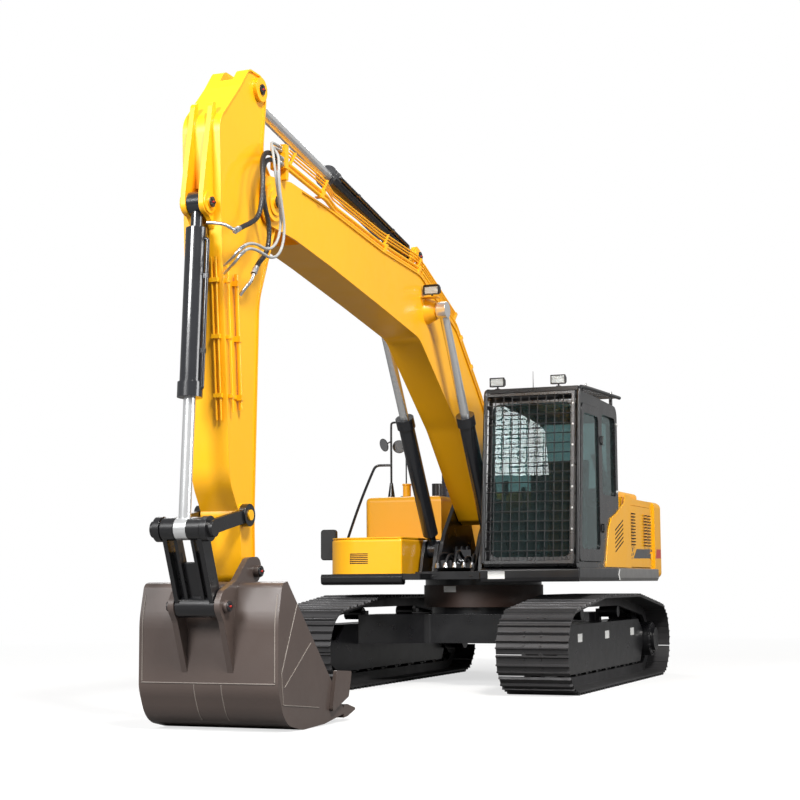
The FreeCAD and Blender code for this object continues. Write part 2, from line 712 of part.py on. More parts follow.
def side_wall(x0, x1):
    """Side of the engine bay with the opening for its door."""
    lean = 170.0
    outer = [(HOUSE_FRONT - lean, DECK_TOP + SEAT), (TAIL_FRONT - SEAT, DECK_TOP + SEAT),
             (TAIL_FRONT - SEAT, HOUSE_TOP - 40.0), (HOUSE_FRONT, HOUSE_TOP - 40.0, 60.0)]
    wall = slab_x(outer, x0, x1)
    hole = box(min(x0, x1) - 10, max(x0, x1) + 10, DOOR_SIDE_FRONT, DOOR_SIDE_REAR,
               DOOR_SIDE_LOW, DOOR_SIDE_HIGH)
    return wall.cut(hole)


def body_panels():
    """Engine bay: front wall, side walls and the roof rim around the hood."""
    left = side_wall(BAY_LEFT - PLATE, BAY_LEFT)
    right = box(BAY_RIGHT, BAY_RIGHT + PLATE, HYDRAULIC_REAR + 5.0, TAIL_FRONT - SEAT,
                DECK_TOP + SEAT, HOUSE_TOP - 40.0)
    right = right.cut(box(BAY_RIGHT - 10, BAY_RIGHT + 20, DOOR_SIDE_FRONT + 200.0, DOOR_SIDE_REAR,
                          DOOR_SIDE_LOW, DOOR_SIDE_HIGH))
    front = box(TANK_LEFT + 10.0, BAY_LEFT - PLATE, HOUSE_FRONT, HOUSE_FRONT + PLATE,
                DECK_TOP + SEAT, HOUSE_TOP - 40.0)
    step = box(TANK_LEFT + 10.0, TANK_LEFT + 10.0 + PLATE, HOUSE_FRONT, HYDRAULIC_REAR + 5.0 + PLATE,
               DECK_TOP + SEAT, HOUSE_TOP - 40.0)
    behind_tank = box(BAY_RIGHT, TANK_LEFT + 10.0 + PLATE, HYDRAULIC_REAR + 5.0,
                      HYDRAULIC_REAR + 5.0 + PLATE, DECK_TOP + SEAT, HOUSE_TOP - 40.0)
    roof_plan = [(BAY_RIGHT, HYDRAULIC_REAR + 5.0), (TANK_LEFT + 10.0, HYDRAULIC_REAR + 5.0),
                 (TANK_LEFT + 10.0, HOUSE_FRONT), (BAY_LEFT, HOUSE_FRONT),
                 (BAY_LEFT, TAIL_FRONT - SEAT), (BAY_RIGHT, TAIL_FRONT - SEAT)]
    roof = slab_z(roof_plan, HOUSE_TOP - 46.0, HOUSE_TOP - 40.0)
    roof = roof.cut(box(HOOD_X0 + 20.0, HOOD_X1 - 20.0, HOOD_FRONT + 20.0, HOOD_REAR - 20.0,
                        HOUSE_TOP - 100.0, HOUSE_TOP))
    hinges = [side_hinge(z, side)[0] for z in SIDE_HINGE_Z for side in (-1, 1)]
    hinges += [hood_hinge(x)[0] for x in HOOD_HINGE_X]
    return fuse([left, right, front, step, behind_tank, roof] + hinges)


HOOD_X0 = -800.0
HOOD_X1 = 1240.0


HOOD_HINGE_X = (HOOD_X0 + 300.0, HOOD_X1 - 300.0)
HOOD_HINGE_Y = HOOD_REAR + 14.0
HOOD_HINGE_Z = HOUSE_TOP - 40.0 + HINGE_EYE + 2.0


def hood_hinge(x):
    """Hinge about X behind the hood."""
    axis = (HOOD_HINGE_Y, HOOD_HINGE_Z)
    lug = HINGE_HALF - 12.0
    fixed = [rod_x(HINGE_PIN, x - HINGE_HALF, x + HINGE_HALF, axis)]
    for a, b in ((-HINGE_HALF, -lug), (lug, HINGE_HALF)):
        fixed.append(rod_x(HINGE_EYE, x + a, x + b, axis))
        fixed.append(box(x + a, x + b, axis[0] - 8.0, axis[0] + 8.0, HOUSE_TOP - 42.0, axis[1]))
    reach = lug - 1.0
    sleeve = rod_x(HINGE_EYE, x - reach, x + reach, axis)
    leaf = box(x - reach, x + reach, HOOD_REAR - 3.0, axis[0], axis[1] - 4.0, axis[1] + 8.0)
    moving = fuse([sleeve, leaf]).cut(rod_x(HINGE_PIN + 0.05, x - 200.0, x + 200.0, axis))
    return fuse(fixed), moving


def engine_hood():
    low = HOUSE_TOP - 40.0 + MOVE_GAP
    high = HOUSE_TOP + 60.0
    outer = [(HOOD_X0, low), (HOOD_X1, low), (HOOD_X1, high, 60.0), (HOOD_X0, high, 60.0)]
    inner = [(HOOD_X0 + PLATE, low - 1), (HOOD_X1 - PLATE, low - 1),
             (HOOD_X1 - PLATE, high - PLATE, 54.0), (HOOD_X0 + PLATE, high - PLATE, 54.0)]
    front = HOOD_FRONT + 210.0
    shell = slab_y(outer, front, HOOD_REAR).cut(slab_y(inner, front + PLATE, HOOD_REAR - PLATE))
    return fuse([shell] + [hood_hinge(x)[1] for x in HOOD_HINGE_X])


SIDE_HINGE_Z = (1350.0, 1750.0)
SIDE_HINGE_Y = DOOR_SIDE_REAR + 4.0


def side_hinge(z, side):
    """Hinge at the rear edge of an engine bay door; side is +1 for the left door."""
    face = BAY_LEFT if side > 0 else BAY_RIGHT
    x = face + side * (12.0 + 8.0)
    wall_x = sorted((face - side * 2.0, x))
    leaf_x = sorted((face + side * 5.0, x))
    wall = (wall_x[0], wall_x[1], SIDE_HINGE_Y + 6.0, SIDE_HINGE_Y + 40.0)
    leaf = (leaf_x[0], leaf_x[1], SIDE_HINGE_Y - 50.0, SIDE_HINGE_Y - 8.0)
    return upright_hinge(x, SIDE_HINGE_Y, z, wall, leaf)


def left_door():
    panel = box(BAY_LEFT - PLATE, BAY_LEFT + 12.0, DOOR_SIDE_FRONT + 6.0, DOOR_SIDE_REAR - 6.0,
                DOOR_SIDE_LOW + 6.0, DOOR_SIDE_HIGH - 6.0)
    return fuse([panel] + [side_hinge(z, 1)[1] for z in SIDE_HINGE_Z])


def right_door():
    panel = box(BAY_RIGHT - 12.0, BAY_RIGHT + PLATE, DOOR_SIDE_FRONT + 206.0, DOOR_SIDE_REAR - 6.0,
                DOOR_SIDE_LOW + 6.0, DOOR_SIDE_HIGH - 6.0)
    return fuse([panel] + [side_hinge(z, -1)[1] for z in SIDE_HINGE_Z])


# ---------------------------------------------------------------- cab
def cab_side_outline(inset=0.0):
    return [(CAB_FRONT_LOW + inset, CAB_BOTTOM + inset, 60.0), (CAB_REAR - inset, CAB_BOTTOM + inset, 40.0),
            (CAB_REAR - inset, CAB_TOP - 40.0 - inset, 120.0), (CAB_FRONT_HIGH + inset, CAB_TOP - inset, 120.0)]


def door_outline(inset=0.0):
    front = 95.0 + inset
    return [(CAB_FRONT_LOW + front, CAB_BOTTOM + 70.0 + inset, 60.0), (DOOR_REAR - inset, CAB_BOTTOM + 70.0 + inset, 60.0),
            (DOOR_REAR - inset, CAB_TOP - 130.0 - inset, 80.0), (CAB_FRONT_HIGH + front, CAB_TOP - 130.0 - inset, 80.0)]


def rear_side_window(inset=0.0):
    return [(DOOR_REAR + 90.0 + inset, 1950.0 + inset, 50.0), (CAB_REAR - 90.0 - inset, 1950.0 + inset, 50.0),
            (CAB_REAR - 90.0 - inset, CAB_TOP - 170.0 - inset, 60.0), (DOOR_REAR + 90.0 + inset, CAB_TOP - 170.0 - inset, 60.0)]


def right_window(inset=0.0):
    return [(CAB_FRONT_LOW + 110.0 + inset, CAB_BOTTOM + 560.0 + inset, 60.0), (CAB_REAR - 110.0 - inset, CAB_BOTTOM + 560.0 + inset, 60.0),
            (CAB_REAR - 110.0 - inset, CAB_TOP - 170.0 - inset, 60.0), (CAB_FRONT_HIGH + 110.0 + inset, CAB_TOP - 170.0 - inset, 60.0)]


def front_window(inset=0.0):
    return [(CAB_RIGHT + 70.0 + inset, CAB_BOTTOM + 110.0 + inset, 60.0), (CAB_LEFT - 70.0 - inset, CAB_BOTTOM + 110.0 + inset, 60.0),
            (CAB_LEFT - 70.0 - inset, CAB_TOP - 130.0 - inset, 60.0), (CAB_RIGHT + 70.0 + inset, CAB_TOP - 130.0 - inset, 60.0)]


def rear_window(inset=0.0):
    return [(CAB_RIGHT + 110.0 + inset, 2050.0 + inset, 60.0), (CAB_LEFT - 110.0 - inset, 2050.0 + inset, 60.0),
            (CAB_LEFT - 110.0 - inset, CAB_TOP - 200.0 - inset, 60.0), (CAB_RIGHT + 110.0 + inset, CAB_TOP - 200.0 - inset, 60.0)]


DOOR_HINGE_Z = (1600.0, 2500.0)


def door_hinge(z):
    wall = (CAB_LEFT - 5.0, DOOR_HINGE_X + 4.0, DOOR_HINGE_Y - 4.0 + 8.0, DOOR_HINGE_Y + 60.0)
    leaf = (CAB_LEFT + 4.0, DOOR_HINGE_X, DOOR_HINGE_Y - 60.0, DOOR_HINGE_Y - 10.0)
    return upright_hinge(DOOR_HINGE_X, DOOR_HINGE_Y, z, wall, leaf)


def cab_shell():
    outer = slab_x(cab_side_outline(), CAB_RIGHT, CAB_LEFT)
    inner = slab_x(cab_side_outline(CAB_WALL), CAB_RIGHT + CAB_WALL, CAB_LEFT - CAB_WALL)
    shell = outer.cut(inner)
    cuts = [slab_x(door_outline(-MOVE_GAP), CAB_LEFT - CAB_WALL - 10.0, CAB_LEFT + 10.0),
            slab_x(rear_side_window(), CAB_LEFT - CAB_WALL - 10.0, CAB_LEFT + 10.0),
            slab_x(right_window(), CAB_RIGHT - 10.0, CAB_RIGHT + CAB_WALL + 10.0),
            slab_y(front_window(), CAB_FRONT_LOW - 50.0, CAB_FRONT_HIGH + CAB_WALL + 60.0),
            slab_y(rear_window(), CAB_REAR - CAB_WALL - 10.0, CAB_REAR + 10.0)]
    for cutter in cuts:
        shell = shell.cut(cutter)
    hinges = [door_hinge(z)[0] for z in DOOR_HINGE_Z]
    feet = []
    for x in (CAB_RIGHT + 120.0, CAB_LEFT - 120.0):
        for y in (CAB_FRONT_LOW + 180.0, CAB_REAR - 150.0):
            feet.append(rod_z(55.0, x, y, DECK_TOP + SEAT, CAB_BOTTOM + 5.0))
    return fuse([shell] + feet + hinges)


def front_lean(z):
    """Y of the cab's front face at a height."""
    return CAB_FRONT_LOW + (CAB_FRONT_HIGH - CAB_FRONT_LOW) * (z - CAB_BOTTOM) / (CAB_TOP - CAB_BOTTOM)


def cab_glass():
    panes = []
    mid = CAB_LEFT - CAB_WALL / 2.0
    panes.append(slab_x(rear_side_window(SEAT), mid - GLASS / 2, mid + GLASS / 2))
    mid = CAB_RIGHT + CAB_WALL / 2.0
    panes.append(slab_x(right_window(SEAT), mid - GLASS / 2, mid + GLASS / 2))
    mid = CAB_REAR - CAB_WALL / 2.0
    panes.append(slab_y(rear_window(SEAT), mid - GLASS / 2, mid + GLASS / 2))
    block = slab_y(front_window(SEAT), CAB_FRONT_LOW - 50.0, CAB_FRONT_HIGH + CAB_WALL + 60.0)
    depth = CAB_WALL / 2.0
    sheet = [(front_lean(CAB_BOTTOM) + depth, CAB_BOTTOM), (front_lean(CAB_BOTTOM) + depth + GLASS, CAB_BOTTOM),
             (front_lean(CAB_TOP) + depth + GLASS, CAB_TOP), (front_lean(CAB_TOP) + depth, CAB_TOP)]
    panes.append(slab_x(sheet, CAB_RIGHT, CAB_LEFT).common(block))
    return group(panes)


def cab_door():
    outer = slab_x(door_outline(), CAB_LEFT - DOOR_THICK + DOOR_PROUD, CAB_LEFT + DOOR_PROUD)
    low = [(CAB_FRONT_LOW + 190.0, CAB_BOTTOM + 190.0, 60.0), (DOOR_REAR - 90.0, CAB_BOTTOM + 190.0, 60.0),
           (DOOR_REAR - 90.0, CAB_TOP - 220.0, 60.0), (CAB_FRONT_HIGH + 160.0, CAB_TOP - 220.0, 60.0)]
    window = slab_x(low, CAB_LEFT - 100.0, CAB_LEFT + 100.0)
    return fuse([outer.cut(window)] + [door_hinge(z)[1] for z in DOOR_HINGE_Z])


def cab_door_glass():
    low = [(CAB_FRONT_LOW + 190.3, CAB_BOTTOM + 190.3, 60.0), (DOOR_REAR - 90.3, CAB_BOTTOM + 190.3, 60.0),
           (DOOR_REAR - 90.3, CAB_TOP - 220.3, 60.0), (CAB_FRONT_HIGH + 160.3, CAB_TOP - 220.3, 60.0)]
    mid = CAB_LEFT - DOOR_THICK / 2.0 + DOOR_PROUD
    return slab_x(low, mid - GLASS / 2, mid + GLASS / 2)


def cab_seat():
    x = (CAB_RIGHT + CAB_LEFT) / 2.0
    floor = CAB_BOTTOM + CAB_WALL + SEAT
    base = box(x - 160.0, x + 160.0, -650.0, -300.0, floor, floor + 330.0)
    cushion = slab_x([(-800.0, floor + 330.0, 30.0), (-260.0, floor + 330.0, 30.0), (-250.0, floor + 440.0, 40.0),
                      (-810.0, floor + 450.0, 40.0)], x - 250.0, x + 250.0)
    back = slab_x([(-330.0, floor + 420.0, 30.0), (-190.0, floor + 420.0, 30.0), (-60.0, floor + 1080.0, 40.0),
                   (-180.0, floor + 1080.0, 40.0)], x - 240.0, x + 240.0)
    return fuse([base, cushion, back])


def cab_console():
    x = (CAB_RIGHT + CAB_LEFT) / 2.0
    floor = CAB_BOTTOM + CAB_WALL + SEAT
    consoles = []
    for side in (-1, 1):
        near = x + side * 265.0
        far = x + side * 390.0
        consoles.append(box(min(near, far), max(near, far), -780.0, -250.0, floor, floor + 560.0))
    return group(consoles)


def guard_slab(back, thick, low, high):
    """Leaning sheet in front of the windscreen, across the cab's width."""
    start = front_lean(low) - back
    stop = front_lean(high) - back
    side = [(start, low), (start + thick, low), (stop + thick, high), (stop, high)]
    return slab_x(side, CAB_RIGHT + MOVE_GAP, CAB_LEFT - MOVE_GAP)


def front_guard():
    """Guard before the windscreen: a frame of bar with a crossed mesh."""
    low = CAB_BOTTOM + 45.0
    high = CAB_TOP - 30.0
    left = CAB_LEFT - MOVE_GAP - GUARD_BAR
    right = CAB_RIGHT + MOVE_GAP + GUARD_BAR
    opening = box(right, left, CAB_FRONT_LOW - 200.0, CAB_FRONT_HIGH + 200.0, low + GUARD_BAR, high - GUARD_BAR)
    frame = guard_slab(GUARD_BACK, GUARD_BAR, low, high).cut(opening)
    inset = (GUARD_BAR - MESH_BAR) / 2.0
    mesh = guard_slab(GUARD_BACK - inset, MESH_BAR, low + 1.0, high - 1.0)
    width = (left - right) / MESH_COLUMNS
    height = (high - low - 2.0 * GUARD_BAR) / MESH_ROWS
    cells = []
    for i in range(MESH_COLUMNS):
        for j in range(MESH_ROWS):
            x = right + i * width + MESH_BAR / 2.0
            z = low + GUARD_BAR + j * height + MESH_BAR / 2.0
            cells.append(box(x, x + width - MESH_BAR, CAB_FRONT_LOW - 200.0, CAB_FRONT_HIGH + 200.0,
                             z, z + height - MESH_BAR))
    mesh = mesh.cut(group(cells))
    stays = []
    for x in (right - 2.0 - GUARD_BAR / 2.0, left + 2.0 - GUARD_BAR / 2.0):
        for z in (low + 120.0, high - 150.0):
            y = front_lean(z) - GUARD_BACK + GUARD_BAR / 2.0
            stays.append(box(x + 3.0, x + GUARD_BAR - 6.0, y, y + GUARD_BACK, z, z + 40.0))
    shell = slab_x(cab_side_outline(-SEAT), CAB_RIGHT - 10.0, CAB_LEFT + 10.0)
    return fuse([frame, mesh] + [stay.cut(shell) for stay in stays])


def roof_guard():
    z = CAB_TOP + GUARD_LIFT
    tube = GUARD_TUBE
    x0 = CAB_RIGHT + 40.0
    x1 = CAB_LEFT - 40.0
    y0 = CAB_FRONT_HIGH + GUARD_FRONT
    y1 = CAB_REAR - 200.0
    bars = [rod_x(tube, x0, x1, (y0, z)), rod_x(tube, x0, x1, (y1, z))]
    for i in range(5):
        x = x0 + (x1 - x0) * i / 4.0
        bars.append(Part.makeCylinder(tube - 4.0, y1 - y0, V(x, y0, z), V(0, 1, 0)))
    for x in (x0, x1):
        for y in (y0, y1):
            bars.append(rod_z(tube - 2.0, x, y, CAB_TOP - 80.0, z))
    guard = fuse(bars)
    roof = slab_x(cab_side_outline(-SEAT), CAB_RIGHT - 10.0, CAB_LEFT + 10.0)
    return guard.cut(roof)


# ---------------------------------------------------------------- small pieces of the upper structure
def handrails():
    foot = DECK_TOP + 360.0
    right = tube_path([(DECK_RIGHT + 60.0, -700.0, foot + SEAT), (DECK_RIGHT + 60.0, -700.0, 2330.0),
                       (DECK_RIGHT + 60.0, -320.0, 2330.0), (DECK_RIGHT + 60.0, -320.0, foot + SEAT)], 16.0, 90.0)
    return right


def mirrors():
    body = box(DECK_RIGHT - 40.0 + 60.0, DECK_RIGHT + 200.0, -1240.0, -1210.0, 1560.0, 1860.0)
    stalk = tube_path([(DECK_RIGHT + 300.0, -1150.0, 1510.0 + SEAT), (DECK_RIGHT + 300.0, -1150.0, 1700.0),
                       (DECK_RIGHT + 190.0, -1215.0, 1700.0)], 12.0, 40.0)
    return fuse([body, stalk])


def lamp_at(x, y, foot_z, width):
    """Flood lamp facing forward: a tapered body behind a square rim."""
    low = foot_z + 22.0
    high = low + LAMP_HIGH
    half = width / 2.0
    rim = box(x - half, x + half, y - 32.0, y, low, high)
    rim = rim.makeFillet(14.0, [e for e in rim.Edges if e.BoundBox.YLength > 30.0])
    hollow = box(x - half + 9.0, x + half - 9.0, y - 40.0, y - 22.0, low + 9.0, high - 9.0)
    back = slab_x([(y - 5.0, low + 4.0), (y + 42.0, low + 22.0, 12.0), (y + 42.0, high - 22.0, 12.0),
                   (y - 5.0, high - 4.0)], x - half + 5.0, x + half - 5.0)
    foot = box(x - 22.0, x + 22.0, y - 18.0, y + 18.0, foot_z, foot_z + 6.0)
    stem = rod_z(9.0, x, y, foot_z, low + 5.0)
    return fuse([rim.cut(hollow), back, foot, stem])


def work_lamps():
    """Two flood lamps on the front bar of the roof guard."""
    lamps = []
    low = CAB_TOP + GUARD_LIFT + GUARD_TUBE + SEAT
    y = CAB_FRONT_HIGH + GUARD_FRONT
    for x in (CAB_RIGHT + 180.0, CAB_LEFT - 180.0):
        lamp = box(x - 70.0, x + 70.0, y - 35.0, y + 45.0, low + 15.0, low + 110.0)
        foot = box(x - 20.0, x + 20.0, y - 15.0, y + 15.0, low, low + 20.0)
        lamps.append(fuse([lamp, foot]))
    return group(lamps)


def exhaust():
    """Stack over the pump room, on a flange on the roof."""
    x = (HOOD_X0 + BAY_RIGHT) / 2.0
    y = 1500.0
    base = HOUSE_TOP - 40.0 + SEAT
    flange = rod_z(110.0, x, y, base, base + 8.0)
    pipe = rod_z(60.0, x, y, base, base + 260.0)
    bore = rod_z(55.0, x, y, base - 10.0, base + 300.0)
    return fuse([flange, pipe]).cut(bore)


def slew_motor():
    body = rod_z(130.0, 0.0, 330.0, DECK_TOP + SEAT, DECK_TOP + 420.0)
    return body


# ---------------------------------------------------------------- boom
def offset_line(points, distance):
    """Parallel of an open (Y, Z) line, on its upper side for a line that runs forward."""
    moved = []
    last = len(points) - 1
    for i in range(last + 1):
        ways = []
        for a, b in ((i - 1, i), (i, i + 1)):
            if a < 0 or b > last:
                continue
            dy, dz = points[b][0] - points[a][0], points[b][1] - points[a][1]
            length = math.hypot(dy, dz)
            ways.append((dz / length, -dy / length))
        ny = sum(way[0] for way in ways)
        nz = sum(way[1] for way in ways)
        size = math.hypot(ny, nz)
        ny, nz = ny / size, nz / size
        reach = distance / (ny * ways[0][0] + nz * ways[0][1])
        moved.append((points[i][0] + ny * reach, points[i][1] + nz * reach))
    return moved


def arm_cylinder_ears():
    """Two plates on the boom's knee that hold the base of the arm cylinder."""
    pin = ARM_CYL_BASE
    ear = [(pin[0] + 330.0, pin[1] - 350.0), (pin[0] + 110.0, pin[1] + 60.0, 100.0),
           (pin[0] - 60.0, pin[1] + 120.0, 100.0), (pin[0] - 130.0, pin[1] - 40.0, 60.0),
           (pin[0] - 330.0, pin[1] - 250.0), (pin[0] - 300.0, pin[1] - 410.0)]
    gap = EYE_HALF + MOVE_GAP
    plates = []
    for side in (-1, 1):
        plates.append(slab_x(ear, side * gap, side * (gap + 40.0)))
        plates.append(span_x(lambda a, b: rod_x(78.0, a, b, pin), side, gap, gap + 52.0))
    return plates + [rod_x(40.0, -gap - 66.0, gap + 66.0, pin)]


def lamp_bracket():
    """Folded plate on the boom's left side under its work lamp."""
    x0 = BOOM_HALF - BOOM_FLANGE - 2.0
    x1 = BOOM_HALF + 160.0
    shelf = box(x0, x1, LAMP_Y - 60.0, LAMP_Y + 60.0, LAMP_Z - 74.0, LAMP_Z - 68.0)
    gusset = [(LAMP_Y - 60.0, LAMP_Z - 70.0), (LAMP_Y + 60.0, LAMP_Z - 70.0), (LAMP_Y, LAMP_Z - 150.0)]
    return [shelf, slab_x(gusset, x0, x0 + 12.0)]


def boom_lamp():
    """Square flood lamp on its bolt over the bracket."""
    x = BOOM_HALF + 85.0
    return lamp_at(x, LAMP_Y, LAMP_Z - 68.0 + SEAT, LAMP_WIDE)


def boom():
    foot = BOOM_FOOT
    nose = BOOM_NOSE
    outline = [(foot[0] + 120.0, foot[1] - 90.0, 110.0), (foot[0] + 130.0, foot[1] + 120.0, 90.0),
               (-300.0, 2740.0, 500.0)] + BOOM_TOP + BOOM_FRONT + BOOM_UNDER + [
               (foot[0] - 130.0, foot[1] - 130.0, 110.0)]
    body = welded_box(outline, BOOM_HALF, BOOM_FLANGE, BOOM_PLATE)
    # solid castings at the nose and the foot
    nose_part = slab_x(outline, -BOOM_HALF, BOOM_HALF).common(
        box(-BOOM_HALF, BOOM_HALF, nose[0] - 400.0, NOSE_SEAM, nose[1] - 500.0, nose[1] + 500.0))
    foot_part = rod_x(150.0, -BOOM_HALF, BOOM_HALF, foot)
    body = fuse([body, nose_part, foot_part])
    # open fork at the nose for the arm
    slot = ARM_HALF + MOVE_GAP
    body = body.cut(box(-slot, slot, nose[0] - 500.0, nose[0] + FORK_DEPTH, nose[1] - 500.0, nose[1] + 500.0))
    bosses = []
    for side in (-1, 1):
        bosses.append(span_x(lambda a, b: rod_x(150.0, a, b, nose), side, slot, BOOM_HALF + 25.0))
        bosses.append(span_x(lambda a, b: rod_x(105.0, a, b, nose), side, slot, BOOM_HALF + 37.0))
    nose_pin = rod_x(50.0, -BOOM_HALF - 52.0, BOOM_HALF + 52.0, nose)
    body = fuse([body] + bosses + [nose_pin])
    body = drill_x(body, 45.05, foot)
    # flared bosses of the boom cylinders' pin
    reach = BOOM_CYL_X - EYE_HALF - MOVE_GAP
    flares = [rod_x(72.0, -reach, reach, BOOM_CYL_ROD)]
    for side in (-1, 1):
        start = V(side * (BOOM_HALF - BOOM_FLANGE - 5.0), BOOM_CYL_ROD[0], BOOM_CYL_ROD[1])
        length = reach - 12.0 - (BOOM_HALF - BOOM_FLANGE - 5.0)
        flares.append(Part.makeCone(135.0, 88.0, length, start, V(side, 0, 0)))
    body = fuse([body] + flares)
    return fuse([body] + arm_cylinder_ears() + lamp_bracket())


def run_point(line, distance):
    """Point at a distance along an open (Y, Z) line."""
    left = distance
    for a, b in zip(line[:-1], line[1:]):
        length = math.hypot(b[0] - a[0], b[1] - a[1])
        if left <= length:
            return along(a, b, left)
        left -= length
    return line[-1]


def pipe_route(x, shift, lift, start, stop):
    """Places over the boom's top between two distances along its pipe line; the pipes step
    outwards before the nose to leave room for the arm."""
    line = offset_line(PIPE_LINE, lift)
    places = [run_point(line, start)]
    passed = 0.0
    for a, b in zip(line[:-1], line[1:]):
        passed += math.hypot(b[0] - a[0], b[1] - a[1])
        if start + 1.0 < passed < stop - 1.0:
            places.append(b)
    places.append(run_point(line, stop))
    route = [(x, y, z) for y, z in places if y > STEP_OUT[0]]
    if places[-1][0] < STEP_OUT[1]:
        y, z = place_at_y(line, STEP_OUT[0])
        route.append((x, y, z))
        y, z = place_at_y(line, STEP_OUT[1])
        route.append((x + shift, y, z))
        route.append((x + shift, places[-1][0], places[-1][1]))
    return route


def boom_pipe(x, shift, lift, radius, ends):
    return tube_path(pipe_route(x, shift, lift, ends[0], ends[1]), radius, 400.0)


def place_at_y(line, y):
    """Point of an open (Y, Z) line at a given Y; the line runs towards -Y."""
    for a, b in zip(line[:-1], line[1:]):
        if b[0] <= y <= a[0]:
            share = (y - a[0]) / (b[0] - a[0])
            return (y, a[1] + (b[1] - a[1]) * share)
    return line[-1]


def pipe_clamp(x0, x1, distance, low, high, length):
    """Block round the pipes at a distance along the boom's top."""
    a_low, b_low = (run_point(offset_line(PIPE_LINE, low), distance + d) for d in (0.0, length))
    a_high, b_high = (run_point(offset_line(PIPE_LINE, high), distance + d) for d in (0.0, length))
    return slab_x([a_low, b_low, b_high, a_high], min(x0, x1), max(x0, x1))


def pipe_side(side):
    """The pair of thick pipes over one edge of the boom, with the hoses over its knee."""
    half = PIPE_RADIUS + 5.0
    top = PIPE_LIFTS[1] + PIPE_RADIUS + 5.0
    near = side * (PIPE_X - half)
    far = side * (PIPE_X + half)
    step = side * PIPE_STEP
    parts = []
    for lift in PIPE_LIFTS:
        parts.append(boom_pipe(side * PIPE_X, step, lift, PIPE_RADIUS, BACK_PIPES))
        parts.append(boom_pipe(side * PIPE_X, step, lift, PIPE_RADIUS, FRONT_PIPES))
        knee = (BACK_PIPES[1] - 5.0, FRONT_PIPES[0] + 5.0)
        parts.append(boom_pipe(side * PIPE_X, step, lift, PIPE_RADIUS + 3.0, knee))
    for distance in BACK_CLAMPS + FRONT_CLAMPS:
        parts.append(pipe_clamp(near, far, distance, SEAT, top, 44.0))
    edge = side * (ARM_HALF + MOVE_GAP)
    inner = side * (PIPE_X + PIPE_STEP - PIPE_RADIUS - 2.0)
    outer = side * (PIPE_X + PIPE_STEP + half)
    parts.append(pipe_clamp(edge, outer, STEP_CLAMP, SEAT, 11.0, 44.0))
    parts.append(pipe_clamp(inner, outer, STEP_CLAMP, 5.0, top, 44.0))
    # tall stand on the nose
    low = BOOM_TOP[-1][1] - 24.0
    high = place_at_y(PIPE_LINE, NOSE_STAND)[1] + top
    y0, y1 = NOSE_STAND - 22.0, NOSE_STAND + 22.0
    stand = fuse([box(min(inner, outer), max(inner, outer), y0, y1, low, high),
                  box(min(edge, outer), max(edge, outer), y0, y1, low, low + 36.0)])
    boom_end = slab_x([BOOM_TOP[-1][:2], BOOM_FRONT[0][:2], (-5790.0, 4000.0), (-5270.0, 4000.0)],
                      -BOOM_HALF - SEAT, BOOM_HALF + SEAT)
    boom_end.translate(V(0, 0, SEAT))
    return parts + [stand.cut(boom_end)]


def boom_pipes():
    """Oil pipes along the boom: a thick pair each side, three thin ones above the left pair."""
    left = pipe_side(1)
    top = THIN_LIFTS[-1] + THIN_PIPE_RADIUS + 5.0
    for lift in THIN_LIFTS:
        left.append(boom_pipe(THIN_PIPE_X, THIN_PIPE_STEP, lift, THIN_PIPE_RADIUS, FRONT_PIPES))
        knee = (BACK_PIPES[1], FRONT_PIPES[0] + 5.0)
        left.append(boom_pipe(THIN_PIPE_X, THIN_PIPE_STEP, lift, THIN_PIPE_RADIUS + 3.0, knee))
    for distance in FRONT_CLAMPS:
        left.append(pipe_clamp(THIN_PIPE_X - 12.0, THIN_PIPE_X + 12.0, distance + 10.0,
                               PIPE_LIFTS[1], top, 24.0))
    x = THIN_PIPE_X + THIN_PIPE_STEP
    for distance in (STEP_CLAMP, STEP_CLAMP + 640.0):
        left.append(pipe_clamp(x - 11.0, x + 12.0, distance + 10.0, PIPE_LIFTS[1], top, 24.0))
    left.append(pipe_clamp(THIN_PIPE_X - 14.0, THIN_PIPE_X + 14.0, BACK_PIPES[1] - 20.0, SEAT, top, 40.0))
    return group([fuse(left), fuse(pipe_side(-1))])


# ---------------------------------------------------------------- cylinders
def side_pipe(x, base, rod, size, side):
    """Oil pipe beside a barrel, turned into it at both ends and held by two blocks."""
    near = x + side * size["radius"] * 0.8
    away = x + side * (size["radius"] + SIDE_PIPE_RADIUS + 5.0)
    far = away + side * SIDE_PIPE_RADIUS
    first = NECK + 60.0
    last = size["barrel"] - 60.0
    points = []
    for distance, place in ((first, near), (first, away), (last, away), (last, near)):
        y, z = along(base, rod, distance)
        points.append((place, y, z))
    parts = [tube_path(points, SIDE_PIPE_RADIUS, 32.0)]
    for share in (0.25, 0.75):
        middle = first + (last - first) * share
        a = along(base, rod, middle - 18.0)
        b = along(base, rod, middle + 18.0)
        parts.append(bar_plate(a, b, SIDE_PIPE_RADIUS - 2.0, min(near, far), max(near, far)))
    return parts


def cylinder_tube(x, base, rod, barrel_end, radius, boss=85.0, pin_radius=40.05):
    """Barrel with its base eye and gland, bored for the rod."""
    eye = rod_x(boss, x - EYE_HALF, x + EYE_HALF, base)
    neck = bar_between(EYE_HALF - 3.0, x, base, along(base, rod, NECK))
    barrel = bar_between(radius, x, along(base, rod, NECK - 25.0), along(base, rod, barrel_end))
    gland = bar_between(radius + 14.0, x, along(base, rod, barrel_end - 110.0), along(base, rod, barrel_end))
    body = fuse([eye, neck, barrel, gland])
    return body.cut(rod_x(pin_radius, x - 100.0, x + 100.0, base))


def cylinder_rod(x, base, rod, start, radius, boss=80.0):
    """Chromed rod with its eye and the pin that sits in the eye."""
    bar = bar_between(radius, x, along(base, rod, start), rod)
    eye = rod_x(boss, x - EYE_HALF, x + EYE_HALF, rod)
    return fuse([bar, eye])


